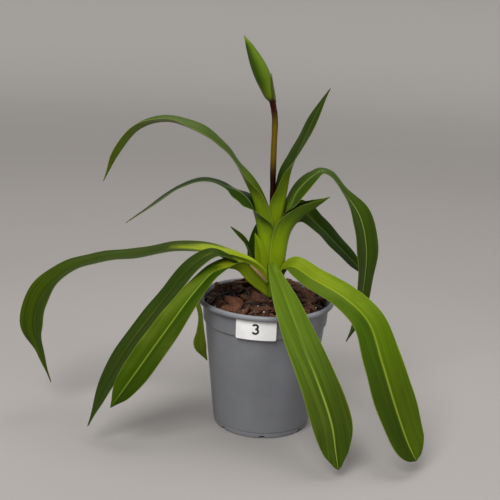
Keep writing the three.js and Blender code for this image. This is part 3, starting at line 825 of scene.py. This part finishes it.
def bark_material():
    """Reddish brown chips with a fibrous grain. "grain" holds a place on the chip in millimetres, its length
    first, and "tone" a number drawn for each chip."""
    shade = Shade("bark", 0.35)
    grain = shade.attribute("grain")
    tone_number = shade.attribute("tone", 2)
    fibres = shade.noise(grain, (0.16, 1.3, 1.9), 5, 0.65)
    flakes = shade.noise(grain, 0.45, 5, 0.6)
    pits = shade.cells(grain, 0.9)
    shade.tone = shade.mix("#120804", "#623b25", shade.band(tone_number, 0.05, 1))
    shade.paint("#8c5d40", shade.band(flakes, 0.55, 0.72, 0, 0.5))
    shade.paint("#150905", shade.band(fibres, 0.48, 0.64, 0, 0.85))
    shade.darken(shade.band(pits, 0.35, 0.1), 0.6)
    height = shade.add(shade.times(fibres, 0.8), flakes)
    return shade.finish(shade.band(flakes, 0.3, 0.7, 0.95, 0.62), shade.bump(height, 0.0011))


def plain_speckled(name, base, other, scale, roughness):
    shade = Shade(name, 0.3)
    speckle = shade.noise(shade.place(), scale, 4, 0.65)
    shade.tone = shade.mix(base, other, shade.band(speckle, 0.4, 0.65))
    return shade.finish(shade.band(speckle, 0.3, 0.7, *roughness), shade.bump(speckle, 0.0003))


def stem_material():
    """Near black maroon at its foot, olive along a band higher up, and redder below the bud."""
    shade = Shade("flower_stem", 0.12, (1, 0.6, 0.45, 1))
    run = shade.attribute("run")
    streaks = shade.noise(run, (0.9, 0.03, 0), 4, 0.6)
    height = shade.add(shade.split(run)[1], shade.about_zero(streaks, 24))
    olive = shade.times(shade.band(height, 102, 124), shade.band(height, 166, 146))
    shade.tone = shade.mix("#1c0805", "#260a06", shade.band(height, 130, 150))
    shade.paint("#5c4c0c", olive)
    shade.darken(shade.band(streaks, 0.45, 0.7), 0.6)
    return shade.finish(shade.band(streaks, 0.3, 0.7, 0.34, 0.5), shade.bump(streaks, 0.00015))


def bud_material():
    """Green, lighter and yellower at both ends, with fine veins, and with a painted sheen that makes it
    lighter and yellower along its right side.
    """
    shade = Shade("flower_bud", 0.26, (0.9, 1, 0.2, 1))
    run = shade.attribute("run")
    _, along, side = shade.split(shade.attribute("blade"))
    veins = shade.noise(run, (1.5, 0.03, 0), 3, 0.6)
    patches = shade.noise(run, (0.12, 0.06, 0), 3)
    # A painted sheen along the right side.
    painted_sheen = shade.band(shade.add(side, shade.about_zero(patches, 1)), -0.6, 0.9)
    shade.tone = shade.mix("#2a4406", "#526818", painted_sheen)
    shade.paint("#5c6a10", shade.band(along, 0.35, 0.02, 0, 0.6))
    shade.paint("#66801a", shade.band(along, 0.86, 1.0))
    shade.paint("#3a1a14", shade.band(along, 0.06, 0.01))
    shade.darken(shade.band(veins, 0.45, 0.7), 0.78)
    return shade.finish(shade.band(veins, 0.3, 0.7, 0.34, 0.48), shade.bump(veins, 0.0003))


def stage_material():
    """Pale grey, and lighter in itself far away, where less light falls."""
    shade = Shade("stage", 0.2)
    place = shade.place()
    clouds = shade.noise(place, 2.2, 3)
    distance = shade.node("ShaderNodeVectorMath", {0: place}, 1, operation="LENGTH")
    shade.tone = shade.mix("#94908d", "#8d8986", shade.band(distance, 0.25, 0.7))
    shade.paint("#dcd8d4", shade.band(distance, 1.4, 5.5))
    shade.darken(clouds, 0.96)
    return shade.finish(shade.band(clouds, 0.3, 0.7, 0.6, 0.7))


# Leaves
def leaf_section(half, fold, keel):
    """Points from the keel to the margin: their share and distance over the blade, their places across and
    up, the turn of the blade there, and how flat it lies. half, fold and keel are columns with a row for
    each ring."""
    share = np.linspace(0, 1, BLADE["across"] + 1) ** BLADE["crowding"]
    distance = half * share
    upward = np.where(fold < 0, -1, 1)
    angle = np.maximum(np.radians(np.abs(fold)), 0.01)
    straight = np.maximum(distance - keel * angle, 0)
    turn = upward * np.minimum(distance / keel, angle)
    flat = np.clip(1 - np.abs(fold) / BLADE["flat_fold"], 0, 1)
    out = keel * np.sin(np.abs(turn)) + straight * np.cos(angle)
    up = upward * (keel * (1 - np.cos(turn)) + straight * np.sin(angle))
    bulge = BLADE["cup"] * 4 * share * (1 - share) * np.minimum(half / BLADE["cup_half"], 1)
    groove = BLADE["rib_depth"] * np.exp(-((distance / BLADE["rib_width"]) ** 2))
    groove = groove * np.minimum(half / BLADE["rib_half"], 1)
    return share, distance, out, up + flat * (bulge - groove), turn, flat


def leaf_grid(name, lean, stations):
    """The two faces of a leaf, ring by ring: each point with its "blade" and "run" values."""
    rows = np.asarray(stations, float)
    places = rows[:, :3]
    steps = max(BLADE["least_steps"], round(curve_length(places) / BLADE["step"]))
    t, run = even_shares(places, steps)
    centre = curve_at(places, t)
    forward = direction_at(places, t)
    half, roll, fold, keel = (column_at(rows[:, k], t)[:, None] for k in (3, 4, 5, 6))
    heading = math.radians(lean)
    level = np.array([-math.sin(heading), math.cos(heading), 0.0])
    side = unit(level - (forward @ level)[:, None] * forward)
    roll = np.radians(roll)
    side = side * np.cos(roll) + np.cross(forward, side) * np.sin(roll)
    normal = np.cross(forward, side)
    run = run[:, None]
    length = run[-1]
    to_tip = length - run
    end_half = max(rows[-1, 3], BLADE["end_half"])
    rounding = np.sqrt(np.clip(1 - (1 - to_tip / end_half) ** 2, 0, 1))
    half = np.maximum(half * np.where(to_tip < end_half, rounding, 1), BLADE["tip_half"])
    share, distance, out, up, turn, flat = leaf_section(half, fold, keel)
    # The margins wave from about a quarter of the way along, and settle before the tip.
    loose = np.clip(run / length * 3 - 0.7, 0, 1) * np.minimum(to_tip / BLADE["wave_fade"], 1)
    thick = BLADE["thickness"] - (BLADE["thickness"] - BLADE["margin"]) * share**3
    draw = random.Random(name)
    lifts = []
    for sign in (1, -1):
        phase = draw.uniform(0, 2 * math.pi)
        wave_length = BLADE["wave_length"] * draw.uniform(0.8, 1.3)
        wave = BLADE["wave"] * np.sin(2 * math.pi * run / wave_length + phase)
        lifts.append((sign, up + flat * loose * wave * share**2))
    faces = []
    for face, lower in ((1.0, 1), (0.0, -1)):
        offset = lower * thick / 2
        halves = []
        for sign, lift in lifts:
            x = sign * (out - offset * np.sin(turn))
            y = lift + offset * np.cos(turn)
            points = centre[:, None] + x[..., None] * side[:, None] + y[..., None] * normal[:, None]
            marks = side_by_side(sign * share, run / length, face, sign * distance, run, 0.0)
            halves.append(np.concatenate([points, marks], axis=-1))
        faces.append(np.concatenate([halves[0][:, :0:-1], halves[1]], axis=1))
    return np.stack(faces)


def build_leaves():
    sheaths = {
        "dry": sheath_material("dry_sheath", "#75503c", "#a07860", "#5a6420"),
        "bract": sheath_material("bud_bract", "#4e6a12", "#40580e", "#3c400e"),
    }
    for name, (look, lean, stations) in LEAVES.items():
        material = sheaths.get(look) or leaf_material(name + "_skin", LOOKS[look])
        grid = leaf_grid(name, lean, stations)
        faces = board_faces(*grid.shape[1:3])
        attributes = {"blade": grid[..., 3:6], "run": grid[..., 6:]}
        blade = name + "_blade"
        make_piece(blade, grid[..., :3], faces, [material], [name], sharp=60, attributes=attributes)


# Stem and bud
def round_piece(name, places, radius_at, steps, sides, material, section=None):
    """A round, closed body along a curve. section gives a factor for the radius at an angle and a share of
    the length."""
    t, run = even_shares(places, steps)
    centre = curve_at(places, t)
    forward = direction_at(places, t)
    side = np.array([0.0, 1.0, 0.0])
    normal = np.cross(forward, side)
    angle = np.linspace(0, 2 * math.pi, sides + 1)[:-1]
    share = (run / run[-1])[:, None]
    radius = radius_at(t)[:, None] * np.ones(sides)
    if section:
        radius = radius * section(angle, share)
    points = (
        centre[:, None]
        + (radius * np.cos(angle))[..., None] * side
        + (radius * np.sin(angle))[..., None] * normal[:, None]
    )
    attributes = {
        "blade": side_by_side(angle / (2 * math.pi), share, -np.sin(angle)),
        "run": side_by_side(np.abs(angle - math.pi) * radius_at(t).max(), run[:, None], 0.0),
    }
    faces = closed_tube(steps + 1, sides)
    make_piece(name + "_skin", points, faces, [material], [name], attributes=attributes)


def build_stem():
    def radius_at(t):
        return STEM["radius"] * (1 + sum(size * np.sin(t * rate) for size, rate in STEM["swellings"]))

    round_piece("flower_stem", STEM["path"], radius_at, STEM["steps"], STEM["sides"], stem_material())


def build_bud():
    rows = BUD["rows"]

    def radius_at(t):
        return np.maximum(column_at([row[3] for row in rows], t), BUD["least_radius"])

    def folded(angle, share):
        """A blunt keel on one side and a fine seam on the other, both strongest half way along."""
        ridges = 0
        for size, direction, width in (BUD["keel"], BUD["seam"]):
            ridges = ridges + size * np.exp(-(((angle - direction * math.pi) / width) ** 2))
        return 1 + ridges * np.sin(math.pi * share)

    foot = (rows[0][0] + BUD["seat"] / 2, 0, rows[0][2] - BUD["seat"])
    places = [foot] + [row[:3] for row in rows[1:]]
    round_piece("flower_bud", places, radius_at, BUD["steps"], BUD["sides"], bud_material(), folded)


# Pot
def filleted(corners, steps=4):
    """A profile through corners, each a radius, a height and a fillet. An arc takes the place of a corner
    that has a fillet, and at most 0.45 of the sides next to it."""
    points = []
    for i, (radius, height, fillet) in enumerate(corners):
        here = np.array([radius, height], float)
        if fillet == 0 or i in (0, len(corners) - 1):
            points.append(here)
            continue
        before = np.array(corners[i - 1][:2], float) - here
        after = np.array(corners[i + 1][:2], float) - here
        reach = min(fillet, 0.45 * np.linalg.norm(before), 0.45 * np.linalg.norm(after))
        start = here + unit(before) * reach
        end = here + unit(after) * reach
        for k in range(steps + 1):
            f = k / steps
            points.append((1 - f) ** 2 * start + 2 * f * (1 - f) * here + f**2 * end)
    return np.array(points)


def pot_profile():
    """The pot's section, from under its middle outwards, up the wall, and down inside to the middle again.
    The small numbers shape its steps and lips."""
    height = POT["height"]
    lip = height - POT["lip"]
    collar = lip - POT["collar_height"]
    wall_top = POT["collar_bottom"] - POT["collar_step"]
    base = POT["base_radius"]
    foot = POT["foot_height"]
    inside_floor = POT["floor_raise"] + POT["floor"]
    return filleted([
        (0.001, POT["floor_raise"], 0),
        (base - POT["foot_ring"] - 0.8, POT["floor_raise"], 0.3),
        (base - POT["foot_ring"], 0, 0.4),
        (base - 0.8, 0, 0.4),
        (base, 0.8, 0.4),
        (base + 0.5, foot - 0.2, 0.2),
        (base + 0.1, foot, 0.1),
        (base + 0.25, foot + 0.5, 0.1),
        (base + 1.0, foot + 0.8, 0.3),
        (wall_top - 0.15, collar - 2.6, 1.2),
        (wall_top + 0.2, collar - 1.2, 0.7),
        (POT["collar_bottom"], collar, 0.9),
        (POT["collar_top"], lip - 0.5, 0.8),
        (POT["rim_radius"] - 1.0, lip - 0.1, 0.9),
        (POT["rim_radius"], lip + 1.4, 1.2),
        (POT["rim_radius"] - 0.2, height - 1.2, 1.4),
        (POT["rim_radius"] - 1.8, height, 1.2),
        (POT["mouth_radius"] + 0.9, height, 0.9),
        (POT["mouth_radius"], height - 1.0, 0.8),
        (POT["collar_top"] - POT["wall"], lip - 0.8, 1),
        (POT["collar_bottom"] - POT["wall"], collar + 0.4, 0.6),
        (wall_top - POT["wall"], collar - 2, 0.6),
        (base - POT["wall"], inside_floor, 0.8),
        (0.001, inside_floor, 0),
    ])


def pot_angles():
    """Even steps round the pot, with a step at each corner of each notch and none too close to it."""
    angles = set(np.round(np.linspace(0, 360, POT["segments"], endpoint=False), 4))
    corners = set()
    for k in range(POT["notches"]):
        middle = POT["first_notch"] + k * 360 / POT["notches"]
        for width in (POT["notch_width"], POT["notch_top_width"]):
            for sign in (-1, 1):
                turn = math.degrees(sign * width / 2 / POT["base_radius"])
                corners.add(round((middle + turn) % 360, 4))
    least = POT["least_step"]
    kept = [a for a in angles if min(abs((a - c + 180) % 360 - 180) for c in corners) > least]
    return np.radians(sorted(kept + list(corners)))


def notch_rise(angle):
    """How high the foot ring is cut away at an angle."""
    spacing = 2 * math.pi / POT["notches"]
    offset = (angle - math.radians(POT["first_notch"]) + spacing / 2) % spacing - spacing / 2
    distance = abs(offset) * POT["base_radius"]
    outer = POT["notch_width"] / 2
    inner = POT["notch_top_width"] / 2
    return POT["notch_height"] * min(max((outer - distance) / (outer - inner), 0), 1)


def build_pot():
    """A turned shell. What stands low and outside the radius ring is lifted to the top of each notch."""
    profile = pot_profile()
    angles = pot_angles()
    ring = POT["base_radius"] - POT["foot_ring"] - 0.9
    points = []
    for radius, height in profile:
        low = radius > ring and height < POT["notch_height"]
        for angle in angles:
            points.append((*around(radius, angle), max(height, notch_rise(angle)) if low else height))
    faces = tube_faces(len(profile), len(angles))
    piece = make_piece("pot_shell", points, faces, [pot_material()], ["pot"], sharp=40)
    face_outwards(piece, weld=0.00001)


# Label
def on_label(across, up, out):
    """A point on the curved card, from its middle, and out from its middle surface."""
    angle = math.radians(LABEL["direction"]) + across / LABEL["radius"]
    return *around(LABEL["radius"] + out, angle), LABEL["top"] - LABEL["height"] / 2 + up


def card_points():
    """The card's two faces: columns of points whose ends follow the rounded lower corners."""
    columns, rows = LABEL["columns"], LABEL["rows"]
    half = LABEL["width"] / 2
    points = []
    for out in (LABEL["thickness"] / 2, -LABEL["thickness"] / 2):
        for i in range(columns + 1):
            x = half * math.sin(math.pi * (i / columns - 0.5))
            into = max(abs(x) - (half - LABEL["corner"]), 0)
            low = LABEL["corner"] - math.sqrt(max(LABEL["corner"] ** 2 - into**2, 0))
            for j in range(rows + 1):
                y = -LABEL["height"] / 2 + low + (LABEL["height"] - low) * j / rows
                curl = LABEL["curl"] * (abs(x) / half) ** 4
                points.append(on_label(x, y, out + curl))
    return points, columns + 1, rows + 1


def numeral_path():
    """The middle line of a 3, two open bowls, from its top left to its bottom left."""
    path = []
    for (x, y), (wide, tall), start, end in NUMERAL["bowls"]:
        for k in range(NUMERAL["steps"] + 1):
            angle = math.radians(start + (end - start) * k / NUMERAL["steps"])
            path.append((x + wide * math.cos(angle), y + tall * math.sin(angle)))
    return path


def build_label():
    points, columns, rows = card_points()
    faces = board_faces(columns, rows)
    start = len(points)
    card_faces = len(faces)
    path = np.array(numeral_path())
    heading = unit(np.gradient(path, axis=0))
    across = np.stack([-heading[:, 1], heading[:, 0]], axis=1) * NUMERAL["stroke"] / 2
    face = LABEL["thickness"] / 2
    for out in (face + NUMERAL["ink"], face - NUMERAL["sunk"]):
        for edge in (path + across, path - across):
            points += [on_label(x, y, out) for x, y in edge + NUMERAL["middle"]]
    faces += [tuple(a + start for a in quad) for quad in board_faces(2, len(path))]
    piece = make_piece("label_card", points, faces, [card_material(), ink_material()], ["label"], sharp=40)
    marks = [0] * card_faces + [1] * (len(faces) - card_faces)
    piece.data.polygons.foreach_set("material_index", marks)
    face_outwards(piece)


# Bark
def mound(x, y):
    """The height of the heap, which leans up towards the back left."""
    share = min(math.hypot(x, y) / BARK["reach"], 1)
    heap = BARK["crown_height"] - (BARK["crown_height"] - BARK["edge_height"]) * share ** BARK["power"]
    return heap + BARK["slope"][0] * x + BARK["slope"][1] * y


def ball(subdivisions):
    """The directions and faces of an even ball of triangles."""
    mesh = bmesh.new()
    bmesh.ops.create_icosphere(mesh, subdivisions=subdivisions, radius=1)
    points = np.array([v.co[:] for v in mesh.verts])
    faces = np.array([[v.index for v in face.verts] for face in mesh.faces])
    mesh.free()
    return unit(points), faces


def chip_points(draw, directions, size):
    """A broken block: the ball cut by random planes, roughened, and stretched to size."""
    planes = unit(np.array([[draw.gauss(0, 1) for _ in range(3)] for _ in range(BLOCK["planes"])]))
    depth = np.array([draw.uniform(*BLOCK["depth"]) for _ in planes])
    facing = directions @ planes.T
    least = BLOCK["least_facing"]
    reach = np.where(facing > least, depth / np.maximum(facing, least), BLOCK["reach"]).min(axis=1)
    reach = np.minimum(reach, BLOCK["reach"])
    shift = Vector([draw.uniform(0, 90) for _ in range(3)])
    local = directions * reach[:, None] * np.array(size) / 2
    rough = [noise.fractal(Vector(p) * 0.5 + shift, 0.7, 2.2, 3) for p in local]
    return local * (1 + BLOCK["rough"] * np.array(rough))[:, None]


def drawn_size(draw, kind):
    return [draw.uniform(*extent) for extent in kind["size"]]


def tilted(draw, most):
    """A random turn about the vertical, with a tip and a roll of at most so many radians."""
    turn = Matrix.Rotation(draw.uniform(0, 2 * math.pi), 3, "Z")
    tip = Matrix.Rotation(draw.uniform(-most, most), 3, "X")
    roll = Matrix.Rotation(draw.uniform(-most, most), 3, "Y")
    return np.array(turn @ tip @ roll)


def inside_mouth(points):
    """Points that would reach past the pot's wall are drawn in."""
    radius = np.linalg.norm(points[:, :2], axis=1)
    scale = np.minimum(BARK["mouth"] / np.maximum(radius, 1e-6), 1)
    points[:, :2] *= scale[:, None]
    return points


def scattered(draw, kind):
    """Places over the mound for one kind of loose piece, evenly spread by the golden angle."""
    for i in range(kind["count"]):
        share = (i + 0.5) / kind["count"]
        radius = BARK["bare"] + (BARK["mouth"] - BARK["margin"] - BARK["bare"]) * math.sqrt(share)
        yield around(radius, i * GOLDEN_ANGLE + draw.uniform(-kind["stray"], kind["stray"]))


def mound_grid():
    """The bed below the chips, down to the pot's floor, which is painted dark as the shade between them."""
    rings, spokes = BARK["rings"], BARK["spokes"]
    turns = [2 * math.pi * j / spokes for j in range(spokes)]
    points = [(0, 0, mound(0, 0) - BARK["bed"])]
    for i in range(1, rings + 1):
        for turn in turns:
            x, y = around(BARK["mouth"] * i / rings, turn)
            rough = BARK["bed_rough"] * noise.fractal(Vector((x, y, 3)) * 0.16, 0.9, 2.1, 4)
            points.append((x, y, mound(x, y) - BARK["bed"] + rough * (i < rings)))
    for radius, height in BARK["side"]:
        points += [(*around(radius, turn), height) for turn in turns]
    points.append((0, 0, BARK["side"][-1][1]))
    faces = []
    for a, b, c, d in tube_faces(rings + len(BARK["side"]), spokes):
        faces += [(a + 1, b + 1, c + 1), (a + 1, c + 1, d + 1)]
    last = len(points) - 1
    for j in range(spokes):
        k = (j + 1) % spokes
        faces += [(0, 1 + j, 1 + k), (last - spokes + j, last, last - spokes + k)]
    return np.array(points, float), np.array(faces)


def build_bark():
    """The bed, chips and crumbs in one piece, and what lies on them. The higher a chip, the lighter, a
    painted shade that darkens the lower chips, as the dark tone of the bed is a painted shade between them.
    """
    draw = random.Random(BARK["seed"])
    points, faces = mound_grid()
    all_points = [points]
    all_faces = [faces]
    grain = [points]
    # The bed's near black tone is a painted shade between the chips.
    tone = [BARK["bed_shade_tone"]] * len(points)
    middle, rise, spread = CHIPS["tone"]

    def add(local, place, turned, shade, ball_faces):
        all_points.append(inside_mouth(local @ turned.T + np.array(place)))
        all_faces.append(ball_faces + len(tone))
        grain.append(local + [draw.uniform(0, 200) for _ in range(3)])
        tone.extend([shade] * len(local))

    directions, ball_faces = ball(3)
    for x, y in scattered(draw, CHIPS):
        local = chip_points(draw, directions, drawn_size(draw, CHIPS))
        lift = draw.uniform(*CHIPS["lift"])
        # Painted shade: the lower a chip lies, the darker its tone.
        shade = min(max(middle + rise * lift + draw.gauss(0, spread), 0), 1)
        add(local, (x, y, mound(x, y) + lift), tilted(draw, CHIPS["tilt"]), shade, ball_faces)
    directions, ball_faces = ball(2)
    for x, y in scattered(draw, CRUMBS):
        local = chip_points(draw, directions, drawn_size(draw, CRUMBS))
        place = (x, y, mound(x, y) + draw.uniform(*CRUMBS["lift"]))
        add(local, place, tilted(draw, CRUMBS["tilt"]), draw.uniform(*CRUMBS["tone"]), ball_faces)
    points = np.concatenate(all_points)
    faces = np.concatenate(all_faces)
    attributes = {"grain": np.concatenate(grain), "tone": tone}
    make_piece("bark_chips", points, faces, [bark_material()], ["bark"], sharp=38, attributes=attributes)
    build_fibres(draw)
    build_grains(draw)


def build_fibres(draw):
    """Thin pale strands that lie over the chips."""
    sides, steps = FIBRES["sides"], FIBRES["steps"]
    tube = [face[:1] + face[:0:-1] for face in closed_tube(steps + 1, sides)]
    points = []
    faces = []
    for place in scattered(draw, FIBRES):
        length = draw.uniform(*FIBRES["length"])
        heading = draw.uniform(0, 2 * math.pi)
        path = []
        for k in range(steps + 1):
            f = k / steps
            bend = heading + FIBRES["bend"] * (f - 0.5) * math.sin(heading * 3)
            place = np.add(place, around(length / steps, bend))
            place *= min(1, (BARK["mouth"] - 1) / np.linalg.norm(place))
            rise = FIBRES["lift"] + FIBRES["arch"] * math.sin(math.pi * f) * abs(math.sin(heading))
            path.append((*place, mound(*place) + rise))
        path = np.array(path)
        forward = unit(np.gradient(path, axis=0))
        side = unit(np.cross(forward, [0, 0, 1.0]))
        up = np.cross(side, forward)
        thick = draw.uniform(*FIBRES["radius"])
        base = len(points)
        for k in range(steps + 1):
            for j in range(sides):
                x, y = around(thick, 2 * math.pi * j / sides)
                points.append(path[k] + x * side[k] + y * up[k])
        faces += [tuple(base + a for a in face) for face in tube]
    material = plain_speckled("bark_fibre", "#54453a", "#7d6e5a", 700, (0.7, 0.85))
    make_piece("bark_fibres", points, faces, [material], slot="bark")


def build_grains(draw):
    """A few small white mineral grains between the chips."""
    directions, ball_faces = ball(2)
    points = []
    faces = []
    for i, (x, y) in enumerate(scattered(draw, GRAINS)):
        local = chip_points(draw, directions, drawn_size(draw, GRAINS))
        points.append(local + (x, y, mound(x, y) + GRAINS["lift"]))
        faces.append(ball_faces + i * len(directions))
    material = plain_speckled("bark_grain", "#e2ddd2", "#c9c2b4", 900, (0.6, 0.8))
    make_piece("bark_grains", np.concatenate(points), np.concatenate(faces), [material], slot="bark")


def dress_crown():
    """The crown keeps its own shape and gets a dark, fibrous skin."""
    node = frame["nodes"]["crown"]
    material = plain_speckled("crown_skin", "#3a2416", "#1a0e08", 260, (0.65, 0.85))
    node.data.materials.clear()
    node.data.materials.append(material)


# Stage
def build_stage():
    """A pale floor that rises gently far away, the same on all sides."""
    spokes, flat = STAGE["spokes"], STAGE["flat"]
    profile = [(0.01, 0), (flat / 2, 0), (flat, 0)]
    for k in range(STAGE["steps"]):
        share = (k + 1) / STAGE["steps"]
        profile.append((flat + (STAGE["reach"] - flat) * share, STAGE["rise"] * share**2))
    turns = [2 * math.pi * j / spokes for j in range(spokes)]
    points = [(*around(radius, turn), height) for radius, height in profile for turn in turns]
    faces = tube_faces(len(profile), spokes)
    floor = add_object("stage_floor", smooth_mesh("stage_floor", points, faces, [stage_material()]))


def add_light(name, place, target, size, power):
    lamp = bpy.data.lights.new(name, "AREA")
    lamp.shape = "DISK"
    lamp.size = size
    lamp.energy = power
    holder = add_object(name, lamp)
    start = Vector(placed(place))
    holder.location = start
    holder.rotation_euler = (Vector(placed(target)) - start).to_track_quat("-Z", "Y").to_euler()


def build_lights():
    for name, (place, target, size, power) in LIGHTS.items():
        add_light(name, place, target, size, power)
    world = bpy.data.worlds.new("studio")
    world.use_nodes = True
    background = world.node_tree.nodes["Background"]
    for key, value in SKY.items():
        background.inputs[key].default_value = value
    bpy.context.scene.world = world
    bpy.context.scene.view_settings.view_transform = "Standard"


def build_camera():
    elevation = math.radians(CAMERA["elevation"])
    roll = math.radians(CAMERA["roll"])
    right = Vector((1, 0, 0))
    up = Vector((0, math.sin(elevation), math.cos(elevation)))
    back = Vector((0, -math.cos(elevation), math.sin(elevation)))
    turned_right = math.cos(roll) * right + math.sin(roll) * up
    turned_up = math.cos(roll) * up - math.sin(roll) * right
    place = Vector(CAMERA["target"]) + CAMERA["distance"] * back
    lens = bpy.data.cameras.new("camera")
    lens.lens = CAMERA["lens"]
    lens.sensor_width = CAMERA["sensor"]
    lens.clip_start = 0.01
    camera = add_object("camera", lens)
    axes = Matrix((turned_right, turned_up, back)).transposed().to_4x4()
    camera.matrix_world = Matrix.Translation(Vector(placed(place))) @ axes
    bpy.context.scene.camera = camera


build_camera()
build_leaves()
build_stem()
build_bud()
build_pot()
build_label()
build_bark()
dress_crown()
build_stage()
build_lights()
